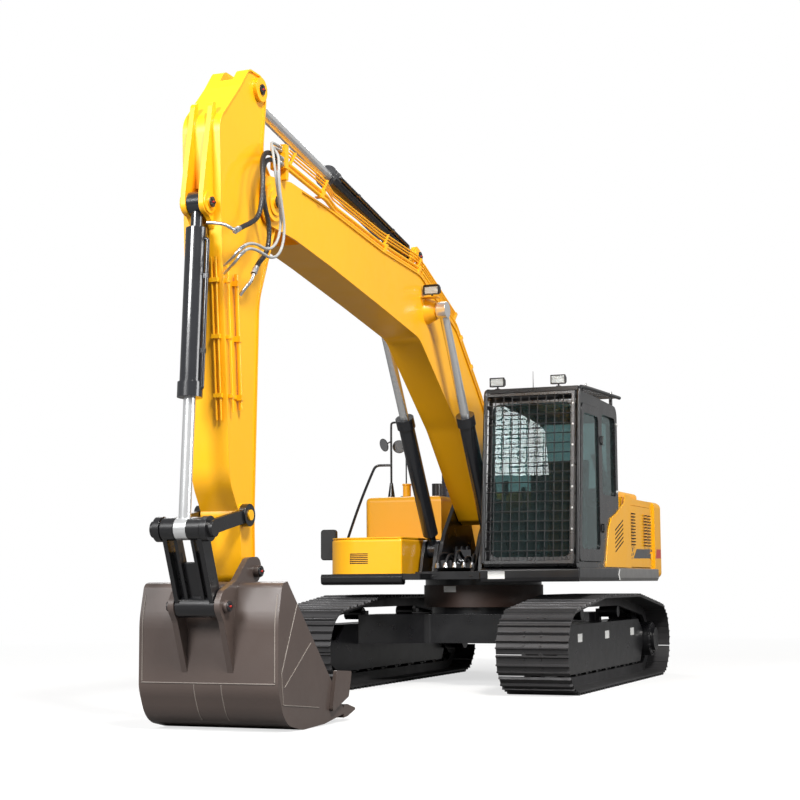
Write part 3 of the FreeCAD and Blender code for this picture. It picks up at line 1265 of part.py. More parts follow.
def bored(tube, x, base, rod, radius):
    """Cut the room of the rod in the barrel."""
    return tube.cut(bar_between(radius + 0.05, x, along(base, rod, NECK + 5.0), along(base, rod, 5000.0)))


# barrel: base pin to the gland's end; start: base pin to the rod's inner end at rest
BOOM_TUBE = dict(barrel=1560.0, radius=80.0, rod=46.0, start=780.0)
ARM_TUBE = dict(barrel=2010.0, radius=88.0, rod=50.0, start=1250.0)
BUCKET_TUBE = dict(barrel=1440.0, radius=78.0, rod=44.0, start=820.0)


def build_tube(x, base, rod, size, pipes=()):
    parts = [cylinder_tube(x, base, rod, size["barrel"], size["radius"])]
    for side in pipes:
        parts += side_pipe(x, base, rod, size, side)
    return bored(fuse(parts), x, base, rod, size["rod"])


def build_rod(x, base, rod, size):
    return cylinder_rod(x, base, rod, size["start"], size["rod"])


# ---------------------------------------------------------------- arm
def bucket_cylinder_ribs():
    """Two long ribs down the arm's face that end in the eyes of the bucket cylinder."""
    base = BUCKET_CYL_BASE
    rib = [(-6400.0, base[1] - 210.0), (-6400.0, 4600.0), (-6452.0, 4580.0, 60.0),
           (base[0] - 40.0, base[1] + 330.0, 400.0), (base[0] - 90.0, base[1] + 60.0, 70.0),
           (base[0] - 90.0, base[1] - 70.0, 80.0), (base[0] + 10.0, base[1] - 100.0, 60.0)]
    gap = EYE_HALF + MOVE_GAP
    parts = []
    for side in (-1, 1):
        parts.append(slab_x(rib, side * gap, side * (gap + 38.0)))
        parts.append(span_x(lambda a, b: rod_x(82.0, a, b, base), side, gap, gap + 50.0))
    return parts + [rod_x(40.0, -gap - 62.0, gap + 62.0, base)]


def face_y(z):
    """Y of the arm's front face at a height, between its middle and its lower corner."""
    (y0, z0, r0), (y1, z1, r1) = ARM_FACE[1:]
    return y0 + (y1 - y0) * (z - z0) / (z1 - z0)


def arm_pipe(x, radius, away, top, bottom):
    """Straight pipe parallel to the arm's front face, between two heights."""
    return bar_between(radius, x, (face_y(top) + away, top), (face_y(bottom) + away, bottom))


def side_pipes(side, pipes):
    """Pipes (radius, distance behind the arm's face, top, bottom) down one side of the arm."""
    plate = ARM_HALF - ARM_FLANGE + SEAT
    x = ARM_HALF + PIPE_RADIUS
    parts = []
    for radius, away, top, bottom in pipes:
        parts.append(arm_pipe(side * x, radius, away, top, bottom))
        for z in FACE_CLAMPS:
            middle = face_y(z) + away
            half = radius + 5.0
            parts.append(span_x(lambda a, b: box(a, b, middle - half, middle + half, z - half, z + half),
                                side, plate, x + half))
    behind = max(pipe[1] for pipe in pipes)
    ahead = min(pipe[1] for pipe in pipes)
    z = FACE_CLAMPS[0]
    spine = span_x(lambda a, b: box(a, b, face_y(z) + ahead, face_y(z) + behind + 1.0, z - 12.0, z + 12.0),
                   side, plate, plate + 8.0)
    return fuse(parts + [spine])


def arm():
    outline = [(ARM_CYL_ROD[0] + 120.0, ARM_CYL_ROD[1] - 60.0, 80.0),
               (ARM_CYL_ROD[0] + 60.0, ARM_CYL_ROD[1] + 120.0, 90.0),
               (-5980.0, 4970.0, 80.0), (-6120.0, 4800.0, 200.0), (-6460.0, 4450.0, 200.0)] + ARM_FACE + [
               (-6110.0, 1560.0, 60.0),
               (BUCKET_PIN[0] - 120.0, BUCKET_PIN[1] + 60.0, 100.0),
               (BUCKET_PIN[0] - 100.0, BUCKET_PIN[1] - 110.0, 110.0),
               (BUCKET_PIN[0] + 110.0, BUCKET_PIN[1] - 90.0, 110.0), (BUCKET_PIN[0] + 90.0, 1550.0, 100.0),
               (-5790.0, 3200.0, 500.0), (BOOM_NOSE[0] + 100.0, BOOM_NOSE[1] - 220.0, 160.0),
               (BOOM_NOSE[0] + 150.0, BOOM_NOSE[1] + 110.0, 130.0), (-5740.0, 4330.0, 200.0)]
    body = welded_box(outline, ARM_HALF, ARM_FLANGE, ARM_PLATE)
    bosses = [rod_x(128.0, -ARM_HALF, ARM_HALF, BOOM_NOSE), rod_x(100.0, -ARM_HALF, ARM_HALF, BUCKET_PIN),
              rod_x(85.0, -ARM_HALF, ARM_HALF, LINK_ON_ARM)]
    body = fuse([body] + bosses)
    body = drill_x(body, 50.05, BOOM_NOSE)
    body = drill_x(body, 45.05, BUCKET_PIN)
    # room for the rod eye between the top ears
    gap = EYE_HALF + MOVE_GAP
    room = box(-gap, gap, ARM_CYL_ROD[0] - 260.0, ARM_CYL_ROD[0] + 400.0, ARM_CYL_ROD[1] - 290.0, 5300.0)
    body = body.cut(room)
    ear_boss = [span_x(lambda a, b: rod_x(95.0, a, b, ARM_CYL_ROD), side, gap, ARM_HALF + 20.0)
                for side in (-1, 1)]
    link_pin_end = LINK_INNER + LINK_THICK + 25.0
    link_pin = rod_x(40.0, -link_pin_end, link_pin_end, LINK_ON_ARM)
    base = BUCKET_CYL_BASE
    clear = slab_x([(-6700.0, base[1] + 130.0), (-6700.0, base[1] - 400.0), (base[0] + 60.0, base[1] - 400.0, 80.0),
                    (base[0] + 120.0, base[1] - 100.0, 80.0), (base[0] + 120.0, base[1] + 130.0, 80.0)], -gap, gap)
    return fuse([body.cut(clear)] + ear_boss + [link_pin] + bucket_cylinder_ribs())


def arm_pipes():
    """Two thin pipes down the arm's face, a thin and a thick one on its left, a thick one right."""
    depth = 2.0 * THIN_PIPE_RADIUS + PIPE_LIFT + 4.0
    front = []
    for x in FACE_PIPE_X:
        front.append(arm_pipe(x, THIN_PIPE_RADIUS, -THIN_PIPE_RADIUS - PIPE_LIFT, 3430.0, 2240.0))
    for z in FACE_CLAMPS:
        back = face_y(z + 16.0) - SEAT
        front.append(box(FACE_PIPE_X[0] - 16.0, FACE_PIPE_X[1] + 16.0, back - depth, back, z - 16.0, z + 16.0))
    left = side_pipes(1, ((THIN_PIPE_RADIUS, 60.0, 3380.0, 2300.0), (PIPE_RADIUS, 190.0, 3330.0, 2330.0)))
    right = side_pipes(-1, ((PIPE_RADIUS, 190.0, 3330.0, 2330.0),))
    return group([fuse(front), left, right])


# ---------------------------------------------------------------- bucket linkage
def link_plate(a, b, ra, rb, x0, x1, waist=0.85):
    """Flat link with a round end about each pin; waist is the web's share of the ends."""
    way = V(0, b[0] - a[0], b[1] - a[1])
    across = V(0, -way.z, way.y).normalize()
    pa = V(x0, a[0], a[1])
    pb = V(x0, b[0], b[1])
    wa = across * (ra * waist)
    wb = across * (rb * waist)
    web = Part.Face(Part.makePolygon([pa + wa, pb + wb, pb - wb, pa - wa, pa + wa])).extrude(V(x1 - x0, 0, 0))
    return fuse([rod_x(ra, x0, x1, a), rod_x(rb, x0, x1, b), web])


def bar_plate(a, b, half_thick, x0, x1):
    """Flat plate across the machine from pin place a to pin place b."""
    way = V(0, b[0] - a[0], b[1] - a[1])
    across = V(0, -way.z, way.y).normalize() * half_thick
    p = V(x0, a[0], a[1])
    q = V(x0, b[0], b[1])
    corners = [p + across, q + across, q - across, p - across, p + across]
    return Part.Face(Part.makePolygon(corners)).extrude(V(x1 - x0, 0, 0))


def tipping_links():
    """Bars from the arm to the bucket cylinder's rod, with a collar round each pin."""
    parts = []
    inner = LINK_INNER
    outer = LINK_INNER + LINK_THICK
    for side in (-1, 1):
        plate = span_x(lambda a, b: link_plate(LINK_ON_ARM, LINK_PIN, 78.0, 84.0, a, b, 0.62), side, inner, outer)
        collar = span_x(lambda a, b: rod_x(84.0, a, b, LINK_ON_ARM), side, inner, outer + 14.0)
        lobe = span_x(lambda a, b: rod_x(90.0, a, b, LINK_PIN), side, inner, outer + 12.0)
        plate = fuse([plate, collar, lobe])
        plate = plate.cut(rod_x(40.05, -600.0, 600.0, LINK_ON_ARM))
        near = EYE_HALF + MOVE_GAP + 2.0
        pin = span_x(lambda a, b: rod_x(40.0, a, b, LINK_PIN), side, near, outer + 30.0)
        cap = span_x(lambda a, b: rod_x(60.0, a, b, LINK_PIN), side, outer + 12.0, outer + 48.0)
        parts.append(fuse([plate, pin, cap]))
    return group(parts)


def h_link():
    """Bucket link: a frame that widens from the cylinder's rod down to the bucket's pin."""
    ear_in = EYE_HALF + MOVE_GAP
    ear_out = LINK_INNER - MOVE_GAP
    boss_half = EAR_INNER - MOVE_GAP
    parts = []
    for side in (-1, 1):
        parts.append(span_x(lambda a, b: rod_x(82.0, a, b, LINK_PIN), side, ear_in, ear_out))
        parts.append(span_x(lambda a, b: link_plate(LINK_PIN, LINK_ON_BUCKET, 74.0, 74.0, a, b), side,
                            ear_out - 34.0, ear_out))
        parts.append(span_x(lambda a, b: link_plate(LINK_PIN, LINK_ON_BUCKET, 60.0, 60.0, a, b, 0.7), side,
                            ear_in, ear_in + 24.0))
    web_top = along(LINK_PIN, LINK_ON_BUCKET, 175.0)
    web_low = along(LINK_PIN, LINK_ON_BUCKET, 520.0)
    web = bar_plate(web_top, web_low, 12.0, -ear_out + 5.0, ear_out - 5.0)
    web = web.cut(bar_plate(along(LINK_PIN, LINK_ON_BUCKET, 100.0), along(LINK_PIN, LINK_ON_BUCKET, 255.0), 60.0,
                            -ear_in + 2.0, ear_in - 2.0))
    boss = rod_x(80.0, -boss_half, boss_half, LINK_ON_BUCKET)
    link = fuse(parts + [web, boss])
    return drill_x(link, 40.05, LINK_PIN)


# ---------------------------------------------------------------- bucket
BUCKET_SIDE = [(-6150.0, 1075.0, 20.0), (-6235.0, 1060.0, 60.0), (-6300.0, 800.0, 500.0), (-6300.0, 300.0, 250.0),
               (-6190.0, 60.0, 250.0), (-5890.0, 0.0, 300.0), (-5500.0, 12.0, 300.0), (-5130.0, 60.0, 10.0),
               (-5130.0, 100.0, 10.0)]


def bucket():
    outer = slab_x(BUCKET_SIDE, -BUCKET_HALF, BUCKET_HALF)
    inner_side = [(y, z) for y, z, r in BUCKET_SIDE]
    hollow_side = [(-6050.0, 1300.0), (-6190.0 + 20.0, 1050.0, 20.0), (-6278.0 + 10.0, 800.0, 480.0),
                   (-6276.0, 310.0, 230.0), (-6175.0, 82.0, 230.0), (-5890.0, 24.0, 280.0),
                   (-5500.0, 36.0, 280.0), (-5150.0, 84.0), (-4900.0, 100.0), (-4900.0, 900.0)]
    hollow = slab_x(hollow_side, -BUCKET_HALF + BUCKET_WALL, BUCKET_HALF - BUCKET_WALL)
    shell = outer.cut(hollow)
    ear = [(BUCKET_PIN[0] + 110.0, BUCKET_PIN[1] - 30.0, 100.0), (BUCKET_PIN[0] + 80.0, BUCKET_PIN[1] + 110.0, 110.0),
           (BUCKET_PIN[0] - 110.0, BUCKET_PIN[1] + 100.0, 110.0), (-6260.0, 1080.0, 100.0),
           (LINK_ON_BUCKET[0] - 30.0, LINK_ON_BUCKET[1] + 110.0, 80.0), (LINK_ON_BUCKET[0] - 110.0, LINK_ON_BUCKET[1], 90.0),
           (LINK_ON_BUCKET[0] - 20.0, LINK_ON_BUCKET[1] - 110.0, 80.0), (-6330.0, 500.0, 100.0), (-6290.0, 400.0),
           (-6270.0, 900.0, 100.0), (-6150.0, 1040.0), (-6030.0, 1000.0, 60.0)]
    ears = []
    for side in (-1, 1):
        x0 = side * EAR_INNER
        x1 = side * (EAR_INNER + EAR_THICK)
        ears.append(slab_x(ear, x0, x1))
        near = side * EAR_INNER
        far = side * (EAR_INNER + EAR_THICK + 30.0)
        ears.append(rod_x(45.0, min(near, far), max(near, far), LINK_ON_BUCKET))
    pin = rod_x(45.0, -EAR_INNER - EAR_THICK - 40.0, EAR_INNER + EAR_THICK + 40.0, BUCKET_PIN)
    return fuse([shell] + ears + [pin])


def bucket_teeth():
    teeth = []
    count = 5
    tooth = [(-5260.0, 25.0 - 0.0), (-5128.0, 62.0 - SEAT), (-5128.0, 104.0), (-5060.0, 130.0), (-4900.0, 92.0), (-4900.0, 80.0), (-5060.0, 40.0)]
    tooth = [(-5129.7, 30.0), (-5129.7, 130.0), (-5060.0, 130.0), (-4905.0, 92.0, 5.0), (-4905.0, 76.0, 5.0), (-5060.0, 36.0)]
    wide = 90.0
    for i in range(count):
        x = -BUCKET_HALF + wide / 2.0 + (2.0 * BUCKET_HALF - wide) * i / (count - 1)
        teeth.append(slab_x(tooth, x - wide / 2.0, x + wide / 2.0))
    return group(teeth)


def side_cutters():
    plate = [(-5420.0, 90.0, 20.0), (-5100.0, 190.0, 20.0), (-5040.0, 380.0, 20.0), (-5330.0, 400.0, 20.0)]
    cutter = slab_x(plate, BUCKET_HALF + SEAT, BUCKET_HALF + 30.0)
    return both_sides(cutter)


# ---------------------------------------------------------------- export
def main():
    os.makedirs("parts", exist_ok=True)
    nodes = {
        "centre_frame": centre_frame(),
        "track_frames": group([track_frame(1), track_frame(-1)]),
        "track_left": track(1),
        "track_right": track(-1),
        "idlers": group([idler(1), idler(-1)]),
        "sprockets": group([sprocket(1), sprocket(-1)]),
        "track_rollers": group(lower_rollers(1) + lower_rollers(-1)),
        "carrier_rollers": group(upper_rollers(1) + upper_rollers(-1)),
        "slew_ring": slew_ring(),
        "upper_frame": upper_frame(),
        "counterweight": counterweight(),
        "engine_block": engine_block(),
        "fuel_tank": fuel_tank(),
        "hydraulic_tank": hydraulic_tank(),
        "tool_box": tool_box(),
        "body_panels": body_panels(),
        "engine_hood": engine_hood(),
        "left_door": left_door(),
        "right_door": right_door(),
        "cab_shell": cab_shell(),
        "cab_glass": cab_glass(),
        "cab_door": cab_door(),
        "cab_door_glass": cab_door_glass(),
        "cab_seat": cab_seat(),
        "cab_console": cab_console(),
        "front_guard": front_guard(),
        "roof_guard": roof_guard(),
        "handrails": handrails(),
        "mirrors": mirrors(),
        "work_lamps": work_lamps(),
        "exhaust": exhaust(),
        "slew_motor": slew_motor(),
        "boom": boom(),
        "boom_pipes": boom_pipes(),
        "boom_lamp": boom_lamp(),
        "boom_cylinder_tubes": group([build_tube(s * BOOM_CYL_X, BOOM_CYL_BASE, BOOM_CYL_ROD, BOOM_TUBE)
                                      for s in (1, -1)]),
        "boom_cylinder_rods": group([build_rod(s * BOOM_CYL_X, BOOM_CYL_BASE, BOOM_CYL_ROD, BOOM_TUBE)
                                     for s in (1, -1)]),
        "arm_cylinder_tube": build_tube(0.0, ARM_CYL_BASE, ARM_CYL_ROD, ARM_TUBE, pipes=(1,)),
        "arm_cylinder_rod": build_rod(0.0, ARM_CYL_BASE, ARM_CYL_ROD, ARM_TUBE),
        "arm": arm(),
        "arm_pipes": arm_pipes(),
        "bucket_cylinder_tube": build_tube(0.0, BUCKET_CYL_BASE, LINK_PIN, BUCKET_TUBE, pipes=(1,)),
        "bucket_cylinder_rod": build_rod(0.0, BUCKET_CYL_BASE, LINK_PIN, BUCKET_TUBE),
        "tipping_links": tipping_links(),
        "h_link": h_link(),
        "bucket": bucket(),
        "bucket_teeth": bucket_teeth(),
        "side_cutters": side_cutters(),
    }
    for name, shape in nodes.items():
        shape.exportStep("parts/" + name + ".step")
        sizes = [len(shape.Solids), shape.isValid()]
        print(name, sizes)


main()
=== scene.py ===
import json
import math

import bmesh
import bpy
from mathutils import Euler, Matrix, Vector
from mathutils.bvhtree import BVHTree


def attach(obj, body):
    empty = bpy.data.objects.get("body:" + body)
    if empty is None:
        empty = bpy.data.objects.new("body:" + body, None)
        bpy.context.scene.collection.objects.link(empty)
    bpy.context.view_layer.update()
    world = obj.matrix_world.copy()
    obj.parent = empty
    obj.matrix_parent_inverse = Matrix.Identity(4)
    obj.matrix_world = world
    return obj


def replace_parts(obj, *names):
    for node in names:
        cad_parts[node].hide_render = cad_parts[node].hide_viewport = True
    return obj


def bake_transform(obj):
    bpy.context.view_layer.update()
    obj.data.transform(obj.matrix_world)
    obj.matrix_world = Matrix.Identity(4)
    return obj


# Crawler excavator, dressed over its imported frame.  Metres; +X is the cab side, -Y the front.
bpy.context.scene.view_settings.view_transform = "Standard"
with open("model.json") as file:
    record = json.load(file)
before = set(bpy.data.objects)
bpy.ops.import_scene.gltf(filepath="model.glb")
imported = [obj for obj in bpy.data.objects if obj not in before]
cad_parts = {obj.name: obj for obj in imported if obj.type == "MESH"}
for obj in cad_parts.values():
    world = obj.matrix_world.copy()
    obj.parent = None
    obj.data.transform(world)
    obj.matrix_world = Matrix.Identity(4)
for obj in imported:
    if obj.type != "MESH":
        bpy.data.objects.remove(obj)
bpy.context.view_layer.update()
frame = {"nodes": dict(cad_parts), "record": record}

# ---------------- camera
CAMERA_PLACE = Vector((5.629, -16.923, 1.060))
CAMERA_AZIMUTH = math.radians(21.253)
CAMERA_ELEVATION = math.radians(-6.343)
CAMERA_ROLL = math.radians(-0.345)
CAMERA_LENS = 73.92


def add_camera():
    sin_a, cos_a = math.sin(CAMERA_AZIMUTH), math.cos(CAMERA_AZIMUTH)
    sin_e, cos_e = math.sin(CAMERA_ELEVATION), math.cos(CAMERA_ELEVATION)
    back = Vector((sin_a * cos_e, -cos_a * cos_e, sin_e))
    level = Vector((cos_a, sin_a, 0.0))
    over = back.cross(level)
    right = level * math.cos(CAMERA_ROLL) + over * math.sin(CAMERA_ROLL)
    up = over * math.cos(CAMERA_ROLL) - level * math.sin(CAMERA_ROLL)
    data = bpy.data.cameras.new("camera")
    data.lens = CAMERA_LENS
    data.sensor_width = 36.0
    data.clip_end = 200.0
    camera = bpy.data.objects.new("camera", data)
    camera.matrix_world = Matrix.Translation(CAMERA_PLACE) @ Matrix((right, up, back)).transposed().to_4x4()
    bpy.context.scene.collection.objects.link(camera)
    bpy.context.scene.camera = camera


# ---------------- material helpers
class Nodes:
    """The node tree of a material or of the world, built from short calls."""

    def __init__(self, name, world=None):
        self.owner = world or bpy.data.materials.new(name)
        self.owner.use_nodes = True
        self.tree = self.owner.node_tree
        self.shader = self.tree.nodes["Background" if world else "Principled BSDF"]

    def add(self, kind, inputs=None, **settings):
        node = self.tree.nodes.new(kind)
        for key, value in settings.items():
            setattr(node, key, value)
        for key, value in (inputs or {}).items():
            self.set(node, key, value)
        return node

    def set(self, node, key, value):
        if isinstance(value, bpy.types.NodeSocket):
            self.tree.links.new(value, node.inputs[key])
        else:
            node.inputs[key].default_value = value

    def look(self, inputs):
        """Set the shader's inputs and give what the tree belongs to."""
        for key, value in inputs.items():
            self.set(self.shader, key, value)
        return self.owner

    def place(self):
        return self.add("ShaderNodeTexCoord").outputs["Object"]

    def noise(self, scale, detail=4.0, rough=0.55, place=None):
        node = self.add("ShaderNodeTexNoise", {"Scale": scale, "Detail": detail, "Roughness": rough})
        self.set(node, "Vector", place or self.place())
        return node.outputs["Fac"]

    def spread(self, value, low, high, new_low, new_high):
        node = self.add("ShaderNodeMapRange", {"Value": value, "From Min": low, "From Max": high,
                                               "To Min": new_low, "To Max": new_high})
        return node.outputs["Result"]

    def mix(self, share, a, b):
        node = self.add("ShaderNodeMix", data_type="RGBA")
        self.set(node, "Factor", share)
        self.set(node, "A", a)
        self.set(node, "B", b)
        return node.outputs["Result"]

    def bump(self, height, strength, distance, normal=None):
        node = self.add("ShaderNodeBump", {"Height": height, "Strength": strength, "Distance": distance})
        if normal is not None:
            self.set(node, "Normal", normal)
        return node.outputs["Normal"]

    def soft_edges(self, radius):
        return self.add("ShaderNodeBevel", {"Radius": radius}, samples=4).outputs["Normal"]

    def seen(self):
        """1 on a ray from the camera, straight or through glass, and 0 on any other."""
        rays = self.add("ShaderNodeLightPath").outputs
        return self.add("ShaderNodeMath", {0: rays["Is Camera Ray"], 1: rays["Is Transmission Ray"]},
                        operation="MAXIMUM").outputs[0]


def shade(color, factor):
    return tuple(min(part * factor, 1.0) for part in color) + (1.0,)


def painted(name, color, rough=0.35, metallic=0.0, coat=0.0, vary=0.06, peel=0.12, edge=0.004, grain=140.0):
    """Painted steel: slow change of colour, fine change of gloss, orange peel and softened edges."""
    nodes = Nodes(name)
    slow, fine, gloss = nodes.noise(0.9, 3.0), nodes.noise(grain, 3.0), nodes.noise(6.0, 5.0)
    slow = nodes.spread(slow, 0.3, 0.7, 0.0, 1.0)
    return nodes.look({"Base Color": nodes.mix(slow, shade(color, 1.0 - vary), shade(color, 1.0 + vary)),
                       "Roughness": nodes.spread(gloss, 0.2, 0.8, rough * 0.8, rough * 1.25),
                       "Normal": nodes.bump(fine, peel, 0.0006, nodes.soft_edges(edge)),
                       "Metallic": metallic, "Coat Weight": coat, "Coat Roughness": 0.08})


def glass(name, tint):
    nodes = Nodes(name)
    haze = nodes.noise(3.0, 4.0)
    return nodes.look({"Base Color": nodes.mix(haze, shade(tint, 0.9), shade(tint, 1.1)),
                       "Roughness": nodes.spread(haze, 0.3, 0.7, 0.0, 0.012),
                       "Transmission Weight": 0.96, "IOR": 1.25})


def chrome(name):
    nodes = Nodes(name)
    tint = nodes.mix(nodes.noise(9.0), (0.62, 0.63, 0.65, 1.0), (0.78, 0.78, 0.79, 1.0))
    return nodes.look({"Base Color": tint, "Metallic": 1.0,
                       "Roughness": nodes.spread(nodes.noise(60.0), 0.2, 0.8, 0.10, 0.22)})


def woven(name, color):
    nodes = Nodes(name)
    weave = nodes.add("ShaderNodeTexWave", {"Scale": 220.0, "Distortion": 1.5, "Vector": nodes.place()})
    weave = weave.outputs["Fac"]
    return nodes.look({"Base Color": nodes.mix(weave, shade(color, 0.7), shade(color, 1.3)),
                       "Roughness": nodes.spread(weave, 0.0, 1.0, 0.75, 0.95),
                       "Normal": nodes.bump(weave, 0.4, 0.001)})


BLACK = (0.0072, 0.0072, 0.0084)
# colour and look of each painted or bare metal, rubber and plastic, and the near-black of painted shade in
# openings
PAINTS = {
    "chassis_black": (BLACK, dict(rough=0.30, coat=0.3)),
    "track_steel": ((0.045, 0.044, 0.046), dict(rough=0.42, metallic=0.35, vary=0.25, peel=0.35,
                                                edge=0.003, grain=60.0)),
    "ring_brown": ((0.055, 0.030, 0.022), dict(rough=0.45, vary=0.2)),
    "body_yellow": ((0.90, 0.425, 0.004), dict(rough=0.36, coat=0.22, vary=0.03)),
    "engine_grey": ((0.10, 0.105, 0.11), dict(rough=0.5, vary=0.15, peel=0.3)),
    "cab_black": (BLACK, dict(rough=0.28, coat=0.4)),
    "cab_plastic": ((0.02, 0.02, 0.021), dict(rough=0.55, peel=0.5, grain=400.0)),
    "lamp_body": (BLACK, dict(rough=0.35, coat=0.2)),
    "cylinder_black": ((0.014, 0.015, 0.018), dict(rough=0.22, coat=0.5)),
    "rod_chrome": ((0.80, 0.81, 0.82), dict(rough=0.22, metallic=0.78, coat=0.4, vary=0.02)),
    "bucket_brown": ((0.075, 0.055, 0.048), dict(rough=0.38, coat=0.25, vary=0.12, peel=0.25)),
    "hose_guard": ((0.013, 0.013, 0.015), dict(rough=0.36, peel=0.3, grain=300.0, edge=0.001)),
    "hose_grey": ((0.30, 0.31, 0.31), dict(rough=0.48, vary=0.12, peel=0.4, grain=700.0)),
    "fitting_steel": ((0.55, 0.56, 0.58), dict(rough=0.28, metallic=0.9, vary=0.1, edge=0.001)),
    "bolt_zinc": ((0.70, 0.70, 0.69), dict(rough=0.30, metallic=0.7, vary=0.1, edge=0.001)),
    "bolt_black": ((0.016, 0.016, 0.018), dict(rough=0.34, coat=0.2, vary=0.15, edge=0.001)),
    "cast_black": ((0.018, 0.018, 0.021), dict(rough=0.50, vary=0.2, peel=0.6, grain=220.0)),
    "weld_grey": ((0.22, 0.19, 0.17), dict(rough=0.45, vary=0.3)),
    # painted shade: near-black for the dark inside the slots and louvre openings
    "painted_shade_black": ((0.010, 0.009, 0.008), dict(rough=0.7)),
    "skirt_grey": ((0.16, 0.155, 0.15), dict(rough=0.34, coat=0.3, vary=0.1)),
    "filter_blue": ((0.014, 0.018, 0.030), dict(rough=0.45, vary=0.2)),
    "cap_red": ((0.55, 0.018, 0.012), dict(rough=0.35, coat=0.3)),
    "cap_teal": ((0.010, 0.22, 0.20), dict(rough=0.38, coat=0.3)),
    "decal_grey": ((0.045, 0.046, 0.050), dict(rough=0.32, coat=0.3, vary=0.1)),
    "decal_white": ((0.80, 0.80, 0.78), dict(rough=0.36, coat=0.3, vary=0.04)),
    "lamp_reflector": ((0.85, 0.85, 0.84), dict(rough=0.22, metallic=0.25, coat=0.5, vary=0.03)),
}


def make_materials():
    """Each material by its name: the slots of the record and what the small pieces use."""
    made = {name: painted(name, color, **look) for name, (color, look) in PAINTS.items()}
    made["cab_glass"] = glass("cab_glass", (0.24, 0.35, 0.35))
    made["seat_fabric"] = woven("seat_fabric", (0.03, 0.03, 0.033))
    made["mirror_silver"] = chrome("mirror_silver")
    made["lamp_cover"] = glass("lamp_cover", (0.88, 0.90, 0.90))
    return made


def dress_nodes():
    """Each node takes the material of its slot in the record."""
    for subpart in frame["record"]["subparts"]:
        item = frame["nodes"][subpart["node"]]
        item.data.materials.clear()
        item.data.materials.append(materials[subpart["material_slot"]])


# ---------------- hoses over the boom's nose
HOSE_THICK, HOSE_THIN = 0.038, 0.022    # diameters
BAND_TURN = 0.030                       # pitch of the flat band wound round a thick hose
# the diameter of each hose and its route from the boom's pipes to the pipes on the arm
HOSES = {
    "hose_thick_upper": (HOSE_THICK, [
        (0.200, -5.4856, 4.372), (0.200, -5.650, 4.378), (0.222, -5.835, 4.345), (0.265, -5.985, 4.235),
        (0.306, -6.045, 4.065), (0.306, -6.062, 3.900), (0.306, -6.120, 3.770), (0.306, -6.250, 3.697),
        (0.306, -6.3912, 3.6407), (0.306, -6.500, 3.590)]),
    "hose_thick_lower": (HOSE_THICK, [
        (0.200, -5.4856, 4.331), (0.200, -5.640, 4.331), (0.208, -5.790, 4.298), (0.240, -5.915, 4.195),
        (0.262, -5.965, 4.050), (0.262, -5.930, 3.905), (0.262, -5.850, 3.780), (0.262, -5.845, 3.640),
        (0.262, -5.910, 3.520), (0.262, -6.0381, 3.4411), (0.262, -6.110, 3.345)]),
    "hose_thin_upper": (HOSE_THIN, [
        (0.194, -5.4856, 4.469), (0.194, -5.620, 4.469), (0.230, -5.750, 4.440), (0.290, -5.850, 4.350),
        (0.330, -5.895, 4.220), (0.343, -5.885, 4.080), (0.343, -5.840, 3.940), (0.343, -5.805, 3.805),
        (0.343, -5.840, 3.675), (0.343, -5.930, 3.575), (0.343, -6.065, 3.530), (0.343, -6.225, 3.545),
        (0.343, -6.3982, 3.5136), (0.343, -6.500, 3.450)]),
    "hose_thin_lower": (HOSE_THIN, [
        (0.194, -5.4856, 4.440), (0.194, -5.620, 4.440), (0.240, -5.750, 4.400), (0.350, -5.860, 4.300),
        (0.374, -5.915, 4.160), (0.374, -5.900, 4.020), (0.374, -5.850, 3.885), (0.374, -5.810, 3.745),
        (0.374, -5.835, 3.610), (0.374, -5.925, 3.505), (0.374, -6.060, 3.465), (0.374, -6.190, 3.478),
        (0.374, -6.320, 3.485), (0.374, -6.4492, 3.4651), (0.374, -6.550, 3.400)]),
}


def spline_points(points, steps):
    """The line of an open NURBS spline through a route's control points."""
    curve = bpy.data.curves.new("route", "CURVE")
    curve.dimensions = "3D"
    curve.resolution_u = steps
    spline = curve.splines.new("NURBS")
    spline.points.add(len(points) - 1)
    for point, place in zip(spline.points, points):
        point.co = (*place, 1.0)
    spline.order_u = 3
    spline.use_endpoint_u = True
    holder = bpy.data.objects.new("route", curve)
    mesh = bpy.data.meshes.new_from_object(holder)
    line = [vertex.co.copy() for vertex in mesh.vertices]
    bpy.data.objects.remove(holder)
    bpy.data.curves.remove(curve)
    bpy.data.meshes.remove(mesh)
    return line


def swept_tube(shape, line, radius_at, sides):
    """Tube round a line of points; radius_at(length so far, angle round it) gives its surface."""
    rings = []
    normal = (line[1] - line[0]).orthogonal().normalized()
    far = 0.0
    for i, place in enumerate(line):
        ahead = (line[min(i + 1, len(line) - 1)] - line[max(i - 1, 0)]).normalized()
        normal = (normal - ahead * normal.dot(ahead)).normalized()
        across = ahead.cross(normal)
        if i:
            far += (place - line[i - 1]).length
        ring = []
        for k in range(sides):
            angle = 2.0 * math.pi * k / sides
            radius = radius_at(far, angle)
            out = normal * math.cos(angle) + across * math.sin(angle)
            ring.append(shape.bm.verts.new(place + out * radius))
        rings.append(ring)
    for first, second in zip(rings, rings[1:]):
        for k in range(sides):
            after = (k + 1) % sides
            shape.bm.faces.new((first[k], first[after], second[after], second[k]))
    shape.bm.faces.new(list(reversed(rings[0])))
    shape.bm.faces.new(rings[-1])


def hose_fittings(name, line, radius):
    """Crimped sleeves and nuts at a hose's two ends."""
    for place, inner, body in ((line[0], line[6], "boom"), (line[-1], line[-7], "arm")):
        way = (inner - place).normalized()
        shape = Shape()
        shape.rod(place, place + way * 0.075, radius * 1.10, 24)
        for far in (0.024, 0.036, 0.048, 0.060):
            shape.rod(place + way * far, place + way * (far + 0.006), radius * 1.18, 24)
        shape.rod(place, place + way * 0.018, radius * 1.32, 6)
        shape.done(name + "_fitting_" + body, body, "fitting_steel", "rod_chrome")


